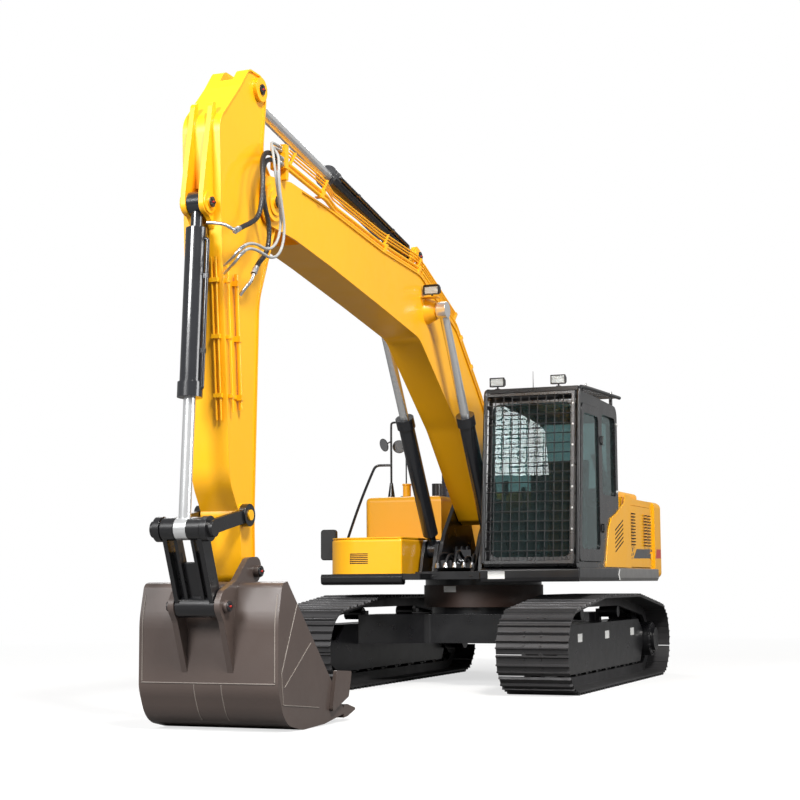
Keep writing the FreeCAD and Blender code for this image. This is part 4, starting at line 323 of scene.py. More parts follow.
def add_hoses():
    """Four hoses bent along their routes from the boom's pipes to the arm, the thick ones in a guard of flat
    band.
    """
    for name, (diameter, points) in HOSES.items():
        radius = diameter / 2.0
        thick = diameter == HOSE_THICK
        line = spline_points(points, 48 if thick else 16)

        def radius_at(far, angle):
            turn = (far / BAND_TURN + angle / (2.0 * math.pi)) % 1.0
            return radius * (0.90 if thick and turn < 0.16 else 1.0)

        shape = Shape()
        swept_tube(shape, line, radius_at, 20)
        hose = shape.done(name + "_hose", None, "hose_guard" if thick else "hose_grey", "chassis_black")
        hose_fittings(name, line, radius)
        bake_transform(hose)


# ---------------- shapes
def rectangle(left, right, low, high, *more):
    """Four corners in turn, each with what follows, such as its radius."""
    return [(u, v, *more) for u, v in ((left, low), (right, low), (right, high), (left, high))]


def round_corners(corners):
    """Outline of (u, v) or (u, v, radius) as points, each round corner as eight steps."""
    flat = []
    count = len(corners)
    for i, corner in enumerate(corners):
        here = Vector(corner[:2])
        radius = corner[2] if len(corner) > 2 else 0.0
        if radius <= 0.0:
            flat.append(tuple(here))
            continue
        back = Vector(corners[i - 1][:2]) - here
        ahead = Vector(corners[(i + 1) % count][:2]) - here
        half = back.angle(ahead) / 2.0
        cut = min(radius / math.tan(half), 0.49 * back.length, 0.49 * ahead.length)
        start, stop = here + back.normalized() * cut, here + ahead.normalized() * cut
        for k in range(9):
            t = k / 8.0
            # a conic through the corner's two ends, round for its angle
            weight = math.sin(half)
            a, b, c = (1 - t) ** 2, 2 * t * (1 - t) * weight, t ** 2
            flat.append(tuple((start * a + here * b + stop * c) / (a + b + c)))
    return flat


class Shape:
    """Pieces of one body and one material, joined into one mesh as they are made."""

    def __init__(self):
        self.bm = bmesh.new()

    def box(self, low, high, turn=None):
        """Block between two corners, turned about its middle where a rotation is given."""
        low, high = Vector(low), Vector(high)
        size = high - low
        matrix = Matrix.Translation((low + high) / 2.0)
        if turn is not None:
            matrix = matrix @ turn.to_matrix().to_4x4()
        matrix = matrix @ Matrix.Diagonal((size.x, size.y, size.z, 1.0))
        bmesh.ops.create_cube(self.bm, size=1.0, matrix=matrix)

    def rod(self, a, b, radius, sides=20, end_radius=None):
        a, b = Vector(a), Vector(b)
        way = b - a
        matrix = Matrix.Translation((a + b) / 2.0) @ way.to_track_quat("Z", "Y").to_matrix().to_4x4()
        bmesh.ops.create_cone(self.bm, cap_ends=True, segments=sides, radius1=radius,
                              radius2=radius if end_radius is None else end_radius,
                              depth=way.length, matrix=matrix)

    def slab(self, corners, way, low, high):
        """Outline with rounded corners, thick from low to high along X, Y or Z."""
        def at(u, v, depth):
            return ((depth, u, v), (u, depth, v), (u, v, depth))[way]
        flat = round_corners(corners)
        near_ring = [self.bm.verts.new(at(u, v, low)) for u, v in flat]
        far_ring = [self.bm.verts.new(at(u, v, high)) for u, v in flat]
        self.bm.faces.new(near_ring)
        self.bm.faces.new(list(reversed(far_ring)))
        for i in range(len(flat)):
            k = (i + 1) % len(flat)
            self.bm.faces.new((near_ring[i], far_ring[i], far_ring[k], near_ring[k]))

    def slab_x(self, corners, low, high):
        self.slab(corners, 0, low, high)

    def slab_y(self, corners, low, high):
        self.slab(corners, 1, low, high)

    def slab_z(self, corners, low, high):
        self.slab(corners, 2, low, high)

    def ball(self, place, radius):
        bmesh.ops.create_uvsphere(self.bm, u_segments=16, v_segments=10, radius=radius,
                                  matrix=Matrix.Translation(place))

    def ring(self, place, normal, radius, thick):
        """Flat ring: a short tube with a bore, as a bent rod."""
        normal = Vector(normal).normalized()
        side = normal.orthogonal().normalized()
        across = normal.cross(side)
        turns = [i * math.pi / 16 for i in range(33)]
        line = [Vector(place) + (side * math.cos(turn) + across * math.sin(turn)) * radius for turn in turns]
        swept_tube(self, line, lambda far, angle: thick, 8)

    def bolt(self, place, normal, size):
        """Hexagon head on its washer."""
        place, normal = Vector(place), Vector(normal).normalized()
        self.rod(place - normal * 0.001, place + normal * size * 0.30, size * 1.35, 16)
        self.rod(place, place + normal * size * 1.0, size, 6)

    def tube(self, points, radius, sides=12):
        swept_tube(self, spline_points(points, 8), lambda far, angle: radius, sides)

    def bead(self, points, radius):
        """Weld bead: a tube with the ripple of the weld pool."""
        line = []
        for a, b in zip(points, points[1:]):
            a, b = Vector(a), Vector(b)
            count = max(2, int((b - a).length / 0.006))
            line += [a.lerp(b, i / count) for i in range(count)]
        line.append(Vector(points[-1]))
        swept_tube(self, line, lambda far, angle: radius * (1.0 + 0.18 * math.sin(far * 520.0)), 8)

    def patch(self, node, corners, way, lift=0.0008, across=10, along=10):
        """Sheet lying on a node: a grid between four corners, thrown on it along a direction."""
        rows = []
        a, b, c, d = (Vector(corner) for corner in corners)
        for i in range(across + 1):
            row = []
            for k in range(along + 1):
                start = a.lerp(b, k / along).lerp(d.lerp(c, k / along), i / across)
                place = touch(node, start, way)[0]
                row.append(self.bm.verts.new(place - Vector(way).normalized() * lift))
            rows.append(row)
        for first, second in zip(rows, rows[1:]):
            for k in range(along):
                self.bm.faces.new((first[k], first[k + 1], second[k + 1], second[k]))

    def done(self, name, body, paint, slot=None):
        """The finished piece on its body, in a material; the slot argument, the record's slot where it
        differs, is not used.
        """
        bmesh.ops.recalc_face_normals(self.bm, faces=self.bm.faces)
        mesh = bpy.data.meshes.new(name)
        self.bm.to_mesh(mesh)
        self.bm.free()
        mesh.shade_smooth()
        mesh.set_sharp_from_angle(angle=math.radians(38.0))
        mesh.materials.append(materials[paint])
        piece = bpy.data.objects.new(name, mesh)
        bpy.context.scene.collection.objects.link(piece)
        if body:
            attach(piece, body)
        slot = slot or paint
        return piece


TREES = {}


def near(node, start, way):
    """Point where a ray first meets a node, or None."""
    return tree_of(node).ray_cast(Vector(start), Vector(way).normalized())[0]


def tree_of(node):
    if node not in TREES:
        item = frame["nodes"][node]
        mesh = bmesh.new()
        mesh.from_mesh(item.data)
        mesh.transform(item.matrix_world)
        TREES[node] = BVHTree.FromBMesh(mesh)
        mesh.free()
    return TREES[node]


def touch(node, start, way):
    """Point and outward normal where a ray first meets a node."""
    place, normal, _, _ = tree_of(node).ray_cast(Vector(start), Vector(way).normalized())
    if place is None:
        raise ValueError("nothing of %s along %s from %s" % (node, tuple(way), tuple(start)))
    return place, normal


DECK_TOP = 1.207
TANK_TOP = 2.001
TRACK_X = 1.190         # middle of a track
AXLE_Y, AXLE_Z = 1.820, 0.405

# ways that a ray is thrown, from a start outside the machine
FAR = 3.0
LEFT = (-1.0, 0.0, 0.0)
RIGHT = (1.0, 0.0, 0.0)
BACKWARD = (0.0, 1.0, 0.0)
FORWARD = (0.0, -1.0, 0.0)
DOWN = (0.0, 0.0, -1.0)
UP = Vector((0.0, 0.0, 1.0))


def bolt_on(shape, node, start, way, size):
    place, normal = touch(node, start, way)
    shape.bolt(place, normal, size)


def side_patch(shape, node, corners, **grid):
    """Sheet on the machine's left side between four (Y, Z) corners."""
    shape.patch(node, [(FAR, y, z) for y, z in corners], LEFT, **grid)


# ---------------- small pieces
def add_pin_ends():
    """Keeper plates with three bolts, and a grease cap, on both ends of the linkage's pins."""
    pins = (("upper", "upper_frame", (-0.15, 1.82), 0.052), ("boom", "boom", (-2.12, 3.68), 0.045),
            ("boom", "boom", (-2.20, 4.21), 0.045), ("boom", "boom", (-5.62, 4.00), 0.048),
            ("arm", "arm", (-5.80, 4.85), 0.042), ("arm", "arm", (-6.50, 3.82), 0.040),
            ("bucket", "bucket", (-5.95, 1.15), 0.040), ("bucket", "bucket", (-6.43, 0.90), 0.038))
    by_body = {}
    for body, node, (y, z), size in pins:
        plates, caps = by_body.setdefault(body, (Shape(), Shape()))
        for way in (LEFT, RIGHT):
            out = Vector(way) * -1.0
            found = [near(node, (-FAR * way[0], y + dy, z + dz), way)
                     for dy, dz in ((0.0, 0.0), (size * 0.8, 0.0), (-size * 0.8, 0.0), (0.0, size * 0.8))]
            reach = max(place.dot(out) for place in found if place is not None)
            place = Vector((reach * out.x, y, z))
            plates.rod(place, place + out * 0.010, size, 28)
            for k in range(3):
                turn = 2.0 * math.pi * k / 3
                aside = Vector((0.0, math.cos(turn), math.sin(turn))) * size * 0.62
                plates.bolt(place + aside + out * 0.010, out, 0.0085)
            caps.rod(place + out * 0.010, place + out * 0.020, 0.010, 12, 0.006)
    for body, (plates, caps) in by_body.items():
        plates.done("pin_plates_" + body, body, "bolt_black", "chassis_black")
        caps.done("grease_caps_" + body, body, "cap_red", "body_yellow")


def shoe_plates(node):
    """Middles and outward normals of the flat strips between a track's grousers."""
    item = frame["nodes"][node]
    mesh = bmesh.new()
    mesh.from_mesh(item.data)
    mesh.transform(item.matrix_world)
    bmesh.ops.dissolve_limit(mesh, angle_limit=0.02, verts=mesh.verts, edges=mesh.edges)
    strips = []
    for face in mesh.faces:
        xs = [v.co.x for v in face.verts]
        if max(xs) - min(xs) < 0.6 or abs(face.normal.x) > 0.1:
            continue
        middle = face.calc_center_median()
        core = Vector((0.0, max(-AXLE_Y, min(AXLE_Y, middle.y)), 0.46))
        out = Vector((0.0, middle.y - core.y, middle.z - core.z))
        if face.normal.dot(out.normalized()) < 0.9:
            continue
        wide = face.calc_area() / (max(xs) - min(xs))
        if 0.035 < wide < 0.09:
            strips.append((middle.copy(), face.normal.copy()))
    mesh.free()
    return strips


def add_shoe_bolts():
    """Two bolts in each strip between the grousers, over the chain's rails."""
    for node, side in (("track_left", 1.0), ("track_right", -1.0)):
        shape = Shape()
        for middle, normal in shoe_plates(node):
            for shift in (-0.082, 0.082):
                place = Vector((side * TRACK_X + shift, middle.y, middle.z))
                shape.rod(place - normal * 0.001, place + normal * 0.009, 0.011, 6)
        shape.done(node + "_bolts", "undercarriage", "track_steel")


def add_hub_bolts():
    """Rings of bolts on the final drives and the idler hubs."""
    shape = Shape()
    for side in (1.0, -1.0):
        way = (-side, 0.0, 0.0)
        for i in range(16):
            turn = 2.0 * math.pi * i / 16
            start = (side * FAR, AXLE_Y + 0.165 * math.cos(turn), AXLE_Z + 0.165 * math.sin(turn))
            bolt_on(shape, "sprockets", start, way, 0.012)
        for i in range(6):
            turn = 2.0 * math.pi * (i + 0.5) / 6
            start = (side * FAR, -AXLE_Y + 0.055 * math.cos(turn), AXLE_Z + 0.055 * math.sin(turn))
            bolt_on(shape, "idlers", start, way, 0.009)
    shape.done("hub_bolts", "undercarriage", "bolt_black", "chassis_black")


def add_guard_bolts():
    """Bright bolts of the windscreen's guard and black ones along the deck's edges."""
    bright = Shape()
    for k in range(8):
        z = 1.36 + k * 0.205
        for x in (0.520, 1.420):
            place = touch("front_guard", (x, -4.0, z), BACKWARD)[0]
            bright.bolt(place, FORWARD, 0.008)
    bright.done("guard_bolts", "upper", "bolt_zinc", "rod_chrome")
    dark = Shape()
    for y in (-0.9, -0.35, 0.25):
        for side in (1.0, -1.0):
            place = touch("upper_frame", (side * FAR, y, 1.18), (-side, 0.0, 0.0))[0]
            dark.bolt(place, (side, 0.0, 0.0), 0.010)
    dark.done("deck_bolts", "upper", "bolt_black", "chassis_black")


def add_marks():
    """Stripes on the left side and the blank plates."""
    stripe = Shape()
    side_patch(stripe, "left_door", [(1.010, 1.310), (1.850, 1.320), (1.850, 1.424), (1.171, 1.416)])
    for y, z, size in ((0.955, 1.385, 0.040), (0.915, 1.335, 0.032), (0.985, 1.345, 0.030),
                       (0.880, 1.395, 0.026), (0.850, 1.350, 0.022), (0.930, 1.300, 0.022)):
        side_patch(stripe, "left_door", [(y, z), (y + size, z), (y + size * 1.25, z + size),
                                         (y + size * 0.25, z + size)], across=2, along=2)
    stripe.done("side_stripe_door", "left_door", "decal_grey", "engine_grey")
    for name, node, paint, slot, corners in (
            ("side_stripe_panel", "body_panels", "decal_grey", "engine_grey",
             [(1.905, 1.320), (1.985, 1.320), (2.020, 1.424), (1.905, 1.424)]),
            ("side_stripe_red", "counterweight", "cap_red", "body_yellow",
             [(2.060, 1.322), (2.330, 1.326), (2.402, 1.428), (2.110, 1.428)])):
        stripe = Shape()
        side_patch(stripe, node, corners)
        stripe.done(name, "upper", paint, slot)
    plate = Shape()
    plate.patch("slew_ring", [(x, -FAR, z) for x, z in rectangle(-0.242, -0.093, 0.958, 1.020)],
                BACKWARD, lift=0.0015)
    for y in (-1.18, -0.10, 1.02):
        side_patch(plate, "track_frames", rectangle(y, y + 0.17, 0.47, 0.55), lift=0.0015)
    plate.done("blank_plates_under", "undercarriage", "decal_white", "cab_plastic")


LAMP_WIDE, LAMP_HIGH = 0.150, 0.092
LAMP_RIM = 0.009
LAMP_BARS = 12          # ribs of a lamp's reflector


def lamp_shapes(rim, lens, cover, x, y, foot):
    """Flood lamp facing forward: a tapered body behind a square rim, its reflector and ribbed cover."""
    low, half = foot + 0.022, LAMP_WIDE / 2.0
    top = low + LAMP_HIGH
    rim.slab_y(rectangle(x - half, x + half, low, top, 0.014), y - 0.022, y)
    inside_low, inside_top = low + LAMP_RIM, top - LAMP_RIM
    for x0, x1, z0, z1 in ((x - half, x + half, low, inside_low), (x - half, x + half, inside_top, top),
                           (x - half, x - half + LAMP_RIM, inside_low, inside_top),
                           (x + half - LAMP_RIM, x + half, inside_low, inside_top)):
        rim.box((x0, y - 0.034, z0), (x1, y - 0.022, z1))
    rim.slab_x([(y, low + 0.004), (y + 0.042, low + 0.022, 0.012), (y + 0.042, top - 0.022, 0.012),
                (y, top - 0.004)], x - half + 0.005, x + half - 0.005)
    rim.rod((x, y - 0.004, foot), (x, y - 0.004, low + 0.005), 0.009, 16)
    rim.box((x - 0.022, y - 0.022, foot), (x + 0.022, y + 0.014, foot + 0.006))
    step = (LAMP_WIDE - 0.020) / LAMP_BARS
    for i in range(LAMP_BARS):
        bar = x - half + 0.010 + (i + 0.5) * step
        lens.rod((bar, y - 0.023, low + 0.010), (bar, y - 0.023, top - 0.010), step * 0.55, 12)
    cover.box((x - half + LAMP_RIM, y - 0.0325, inside_low), (x + half - LAMP_RIM, y - 0.0295, inside_top))


def add_lamps():
    """Flood lamps over the cab and on the boom."""
    rim, lens, cover = Shape(), Shape(), Shape()
    for x in (0.640, 1.268):
        lamp_shapes(rim, lens, cover, x, -1.400, 2.969)
    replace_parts(rim.done("lamp_bodies", "upper", "lamp_body"), "work_lamps")
    lens.done("lamp_reflectors", "upper", "lamp_reflector", "rod_chrome")
    cover.done("lamp_covers", "upper", "lamp_cover", "cab_glass")
    front = touch("boom_lamp", (0.260, -3.5, 3.851), BACKWARD)[0].y
    lens, cover = Shape(), Shape()
    for i in range(LAMP_BARS):
        bar = 0.260 - 0.066 + (i + 0.5) * 0.011
        lens.rod((bar, front - 0.001, 3.815), (bar, front - 0.001, 3.887), 0.006, 12)
    cover.box((0.191, front - 0.0125, 3.813), (0.329, front - 0.0095, 3.889))
    lens.done("boom_lamp_reflector", "boom", "lamp_reflector", "rod_chrome")
    cover.done("boom_lamp_cover", "boom", "lamp_cover", "cab_glass")


def add_mirror_faces():
    """The two round mirrors on the mast."""
    backs, faces = Shape(), Shape()
    for place, normal, post in (((-1.220, 0.190, 2.600), (-0.50, -0.80, -0.30), (-1.140, 0.200, 2.640)),
                                ((-1.085, 0.305, 2.585), (0.20, -0.95, -0.25), (-1.003, 0.310, 2.540))):
        place, normal = Vector(place), Vector(normal).normalized()
        backs.rod(place - normal * 0.022, place, 0.045, 32, 0.075)
        backs.rod(place, place + normal * 0.006, 0.075, 32)
        backs.rod(place - normal * 0.018, post, 0.008, 12)
        backs.ball(place - normal * 0.022, 0.014)
        faces.rod(place + normal * 0.006, place + normal * 0.0072, 0.068, 32)
    backs.done("round_mirrors", "upper", "cab_plastic")
    faces.done("round_mirror_faces", "upper", "mirror_silver", "rod_chrome")


def add_deck_pipes():
    """Swivel, valve block and oil pipes on the deck between the boom cylinders."""
    block, pipes, nuts = Shape(), Shape(), Shape()
    for low, high in (((-0.17, -0.52, DECK_TOP), (0.05, -0.28, 1.33)),
                      ((-0.15, -0.50, 1.33), (0.03, -0.30, 1.40)),
                      ((0.08, -0.60, DECK_TOP), (0.19, -0.36, 1.30)),
                      ((-0.20, -0.86, DECK_TOP), (-0.06, -0.74, 1.285))):
        block.box(low, high)
    for x, y in ((-0.14, -0.47), (-0.08, -0.47), (-0.02, -0.47), (-0.11, -0.34), (-0.05, -0.34)):
        block.rod((x, y, 1.40), (x, y, 1.428), 0.018, 20)
        block.bolt((x, y, 1.428), UP, 0.010)
    block.done("deck_valves", "upper", "cast_black", "chassis_black")
    routes = (((-0.14, -0.52, 1.29), (-0.14, -0.62, 1.30), (-0.17, -0.72, 1.37), (-0.20, -0.86, 1.34),
               (-0.19, -0.93, 1.24), (-0.19, -0.93, DECK_TOP)),
              ((-0.08, -0.52, 1.27), (-0.08, -0.62, 1.28), (-0.09, -0.76, 1.36), (-0.10, -0.90, 1.31),
               (-0.10, -0.94, DECK_TOP)),
              ((-0.02, -0.52, 1.29), (-0.02, -0.62, 1.31), (-0.01, -0.76, 1.39), (0.00, -0.90, 1.33),
               (0.00, -0.94, DECK_TOP)),
              ((0.11, -0.60, 1.26), (0.11, -0.68, 1.27), (0.10, -0.80, 1.33), (0.10, -0.91, 1.28),
               (0.10, -0.93, DECK_TOP)),
              ((0.16, -0.60, 1.25), (0.16, -0.70, 1.27), (0.18, -0.82, 1.36), (0.19, -0.92, 1.28),
               (0.19, -0.93, DECK_TOP)))
    for route in routes:
        pipes.tube(route, 0.0165, 14)
        for place, inner in ((Vector(route[0]), Vector(route[1])), (Vector(route[-1]), Vector(route[-2]))):
            way = (inner - place).normalized()
            nuts.rod(place, place + way * 0.030, 0.024, 6)
            nuts.rod(place + way * 0.030, place + way * 0.050, 0.021, 20)
    pipes.done("deck_pipes", "upper", "hose_guard", "chassis_black")
    nuts.done("deck_pipe_nuts", "upper", "fitting_steel", "rod_chrome")


def add_cab_controls():
    """Travel levers and pedals before the seat, the joysticks and the screen."""
    dark, gaiters = Shape(), Shape()
    for x in (0.915, 1.025):
        dark.tube([(x, -0.98, 1.275), (x, -1.02, 1.50), (x, -0.96, 1.72), (x, -0.93, 1.86)], 0.011)
        dark.rod((x, -0.935, 1.84), (x, -0.925, 1.93), 0.019, 16, 0.016)
        dark.ball((x, -0.924, 1.93), 0.019)
        dark.box((x - 0.045, -1.10, 1.30), (x + 0.045, -0.93, 1.315), Euler((math.radians(-16.0), 0.0, 0.0)))
        gaiters.rod((x, -0.98, 1.275), (x, -1.00, 1.36), 0.045, 20, 0.016)
    for x in (0.660, 1.290):
        place = touch("cab_console", (x, -0.62, 2.6), DOWN)[0]
        gaiters.rod(place, place + UP * 0.055, 0.040, 20, 0.014)
        dark.tube([place, place + UP * 0.09, place + Vector((0.0, -0.012, 0.15))], 0.010)
        dark.rod(place + Vector((0.0, -0.010, 0.10)), place + Vector((0.0, -0.018, 0.20)), 0.021, 16, 0.026)
        dark.ball(place + Vector((0.0, -0.018, 0.20)), 0.026)
    dark.box((0.590, -1.19, 1.93), (0.620, -0.99, 2.07), Euler((0.0, 0.0, math.radians(28.0))))
    dark.rod((0.590, -1.08, 1.78), (0.604, -1.09, 1.94), 0.012, 12)
    dark.done("cab_levers", "upper", "cab_plastic")
    gaiters.done("cab_gaiters", "upper", "hose_guard", "cab_plastic")


def add_small_fittings():
    """Fuel cap, the cab's locks and a turning lock on each side door."""
    teal, bright = Shape(), Shape()
    place = touch("fuel_tank", (-1.03, 0.25, 4.0), DOWN)[0]
    teal.rod(place, place + UP * 0.012, 0.030, 24)
    teal.rod(place + UP * 0.012, place + UP * 0.024, 0.024, 24, 0.018)
    teal.done("fuel_cap", "upper", "cap_teal", "body_yellow")
    for y, z in ((0.20, 2.00), (0.215, 2.72)):
        place, out = touch("cab_shell", (FAR, y, z), LEFT)[0], Vector(RIGHT)
        bright.rod(place, place + out * 0.008, 0.022, 24)
        bright.rod(place + out * 0.008, place + out * 0.012, 0.012, 16)
    bright.done("cab_locks", "upper", "bolt_zinc", "rod_chrome")
    for door, side, y in (("left_door", 1.0, 0.84), ("right_door", -1.0, 1.06)):
        knob, out = Shape(), Vector((side, 0.0, 0.0))
        place = touch(door, (side * FAR, y, 1.60), -out)[0]
        knob.rod(place, place + out * 0.004, 0.030, 28)
        near_x, far_x = sorted((place.x + side * 0.004, place.x + side * 0.011))
        knob.box((near_x, y - 0.008, 1.576), (far_x, y + 0.008, 1.624))
        knob.done(door + "_lock", door, "cab_plastic")


# ---------------- forms that the solids leave plain
GUARD_TUBE = 0.019      # radius of the cab guard's side tubes
MESH_COLUMNS, MESH_ROWS = 10, 17
MESH_BAR = 0.0058


def rail_line(y):
    """Height of the roof guard's side tubes."""
    return 2.972 + (y + 1.40) * 0.024


def guard_line(z):
    """Y of the front guard's middle at a height."""
    return -1.500 + 0.170 * (z - 1.19) / 1.76 - 0.081


def add_cab_guard():
    """Side tubes that rise before the windscreen and turn back over the roof, slats, visor and mesh."""
    tubes, eyes = Shape(), Shape()
    for x in (0.520, 1.478):
        front = guard_line(2.93)
        points = [(x, guard_line(z) - 0.012, z) for z in (1.24, 2.20, 2.84)]
        points += [(x, front - 0.008, 2.950), (x, front + 0.110, rail_line(front)),
                   (x, -0.600, rail_line(-0.600)), (x, 0.230, rail_line(0.230))]
        tubes.tube(points, GUARD_TUBE, 16)
    for y in (-1.235, -1.050, -0.866, -0.680, -0.495, -0.310, -0.125, 0.040, 0.190):
        z = rail_line(y)
        tubes.box((0.530, y - 0.030, z - 0.005), (1.470, y + 0.030, z + 0.005))
    front = guard_line(2.95)
    tubes.box((0.530, front - 0.018, 2.925), (1.470, front + 0.018, 2.968))
    for x in (0.580, 1.400):
        for y in (-1.060, 0.160):
            tubes.box((x - 0.014, y - 0.022, 2.900), (x + 0.014, y + 0.022, rail_line(y)))
    for y in (-0.866, 0.190):
        z = rail_line(y)
        eyes.rod((1.400, y, z - 0.004), (1.400, y, z + 0.020), 0.014, 16)
        eyes.ring((1.400, y, z + 0.042), (1.0, 0.0, 0.0), 0.024, 0.007)
    tubes.rod((1.010, front, 2.960), (1.010, front, 3.130), 0.004, 10, 0.002)
    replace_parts(tubes.done("cab_guard_rails", "upper", "chassis_black"), "roof_guard")
    eyes.done("cab_lifting_eyes", "upper", "bolt_zinc", "rod_chrome")
    mesh = Shape()
    for i in range(MESH_COLUMNS + 1):
        x = 0.534 + i * 0.872 / MESH_COLUMNS
        mesh.rod((x, guard_line(1.262), 1.262), (x, guard_line(2.894), 2.894), MESH_BAR, 8)
    for k in range(MESH_ROWS + 1):
        z = 1.263 + k * 1.62894 / MESH_ROWS
        mesh.rod((0.532, guard_line(z), z), (1.408, guard_line(z), z), MESH_BAR, 8)
    mesh.done("cab_guard_mesh", "upper", "chassis_black")


PANEL_BACK, PANEL_FACE = 1.4415, 1.450      # faces of the swept panel
SKIRT_FACE = 1.468                          # outer face of the deck's skirts


def add_left_side():
    """Swept panel behind the cab's door, louvres with painted shade between their hoods, diagonal slots drawn
    as painted shade, and the deck's skirts.
    """
    panel, slots, door_slot_shade = Shape(), Shape(), Shape()
    panel.slab_x([(-0.385, DECK_TOP), (0.755, DECK_TOP), (0.755, 1.993, 0.012), (0.520, 1.993, 0.025),
                  (0.478, 1.905, 0.070), (0.140, 1.783, 0.500), (-0.120, 1.718, 0.140),
                  (-0.236, 1.600, 0.150)], PANEL_BACK, PANEL_FACE)
    panel.bead([(PANEL_FACE, y, z) for y, z in ((-0.375, 1.222), (-0.236, 1.585), (-0.120, 1.705),
                                                (0.140, 1.770), (0.455, 1.890))], 0.0035)
    panel.done("left_panel", "upper", "body_yellow")
    # diagonal slots: thin near-black sheets on the panel, painted shade for the dark inside the openings
    for i in range(6):
        low = 1.360 + 0.045 * i
        slots.slab_x([(0.040, low), (0.400, low + 0.118), (0.400, low + 0.134), (0.040, low + 0.016)],
                     PANEL_FACE, PANEL_FACE + 0.0012)
    slots.done("panel_slot_shade", "upper", "painted_shade_black", "chassis_black")
    hoods = Shape()
    # dark strips between the louvre hoods: painted shade for the openings behind them
    for y0, y1 in ((0.860, 1.060), (1.500, 1.640), (1.680, 1.820)):
        for i in range(11):
            z = 1.455 + i * 0.034
            door_slot_shade.box((1.4310, y0, z), (1.4322, y1, z + 0.014))
            hoods.slab_y([(1.4312, z + 0.012), (1.4312, z + 0.021), (1.4370, z + 0.012)],
                         y0 - 0.003, y1 + 0.003)
    door_slot_shade.done("door_slot_shade", "left_door", "painted_shade_black", "chassis_black")
    hoods.done("door_louvres", "left_door", "body_yellow")
    side = [(PANEL_BACK, 1.062), (1.455, 1.062, 0.010), (SKIRT_FACE, 1.095, 0.020),
            (SKIRT_FACE, 1.196, 0.012), (PANEL_BACK, 1.200)]
    for name, y0, y1, paint in (("skirt_front", -1.470, 0.105, "chassis_black"),
                                ("skirt_rear", 0.107, 2.020, "skirt_grey")):
        shape = Shape()
        shape.slab_y(side, y0, y1)
        shape.done(name, "upper", paint, "chassis_black")
    front = Shape()
    front.slab_x([(-1.4815, 1.060), (-1.496, 1.066, 0.010), (-1.503, 1.100, 0.020), (-1.503, 1.180, 0.014),
                  (-1.4815, 1.192)], 0.470, 1.466)
    front.done("skirt_nose", "upper", "chassis_black")
    arrow = Shape()
    for sign in (-1.0, 1.0):
        arrow.slab_x([(0.070, 1.130), (0.115, 1.130), (0.160, 1.130 + sign * 0.056),
                      (0.115, 1.130 + sign * 0.056)], SKIRT_FACE, SKIRT_FACE + 0.001)
    arrow.box((0.545, -1.5055, 1.090), (0.718, -1.5030, 1.165))
    arrow.done("skirt_arrow", "upper", "decal_white", "cab_plastic")


def add_rails():
    """Rail from the deck's corner up to the mast, the masts of the round mirrors and the right mirror."""
    shape = Shape()
    shape.tube([(-1.378, -0.622, 1.230), (-1.378, -0.622, 1.320), (-1.380, -0.600, 1.400),
                (-1.350, -0.250, 1.900), (-1.325, 0.100, 2.300), (-1.310, 0.160, 2.368),
                (-1.230, 0.190, 2.372), (-1.140, 0.200, 2.370)], 0.015, 16)
    shape.rod((-1.348, -0.622, 1.245), (-1.380, -0.622, 1.245), 0.018, 16)
    shape.rod((-1.140, 0.200, TANK_TOP), (-1.140, 0.200, 2.170), 0.042, 24, 0.018)
    shape.tube([(x, 0.200, z) for x, z in ((-1.140, 2.10), (-1.140, 2.60), (-1.140, 2.810), (-1.135, 2.848),
                                           (-1.085, 2.852), (-1.018, 2.846), (-1.015, 2.790))], 0.012, 16)
    shape.rod((-1.003, 0.310, TANK_TOP), (-1.003, 0.310, 2.015), 0.022, 20)
    shape.rod((-1.003, 0.310, 2.010), (-1.003, 0.310, 2.560), 0.008, 12)
    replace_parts(shape.done("mirror_mast", "upper", "chassis_black"), "handrails")
    head, face = Shape(), Shape()
    for shape, edges, y0, y1 in ((head, (-1.538, -1.360, 1.300, 1.625, 0.035), -0.850, -0.812),
                                 (head, (-1.530, -1.368, 1.308, 1.617, 0.030), -0.858, -0.850),
                                 (face, (-1.526, -1.372, 1.312, 1.613, 0.028), -0.812, -0.8105)):
        shape.slab_y(rectangle(*edges), y0, y1)
    head.tube([(-1.378, -0.640, 1.385), (-1.400, -0.700, 1.350), (-1.440, -0.780, 1.340),
               (-1.449, -0.812, 1.400)], 0.011, 14)
    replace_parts(head.done("right_mirror", "upper", "cab_plastic"), "mirrors")
    face.done("right_mirror_face", "upper", "mirror_silver", "rod_chrome")


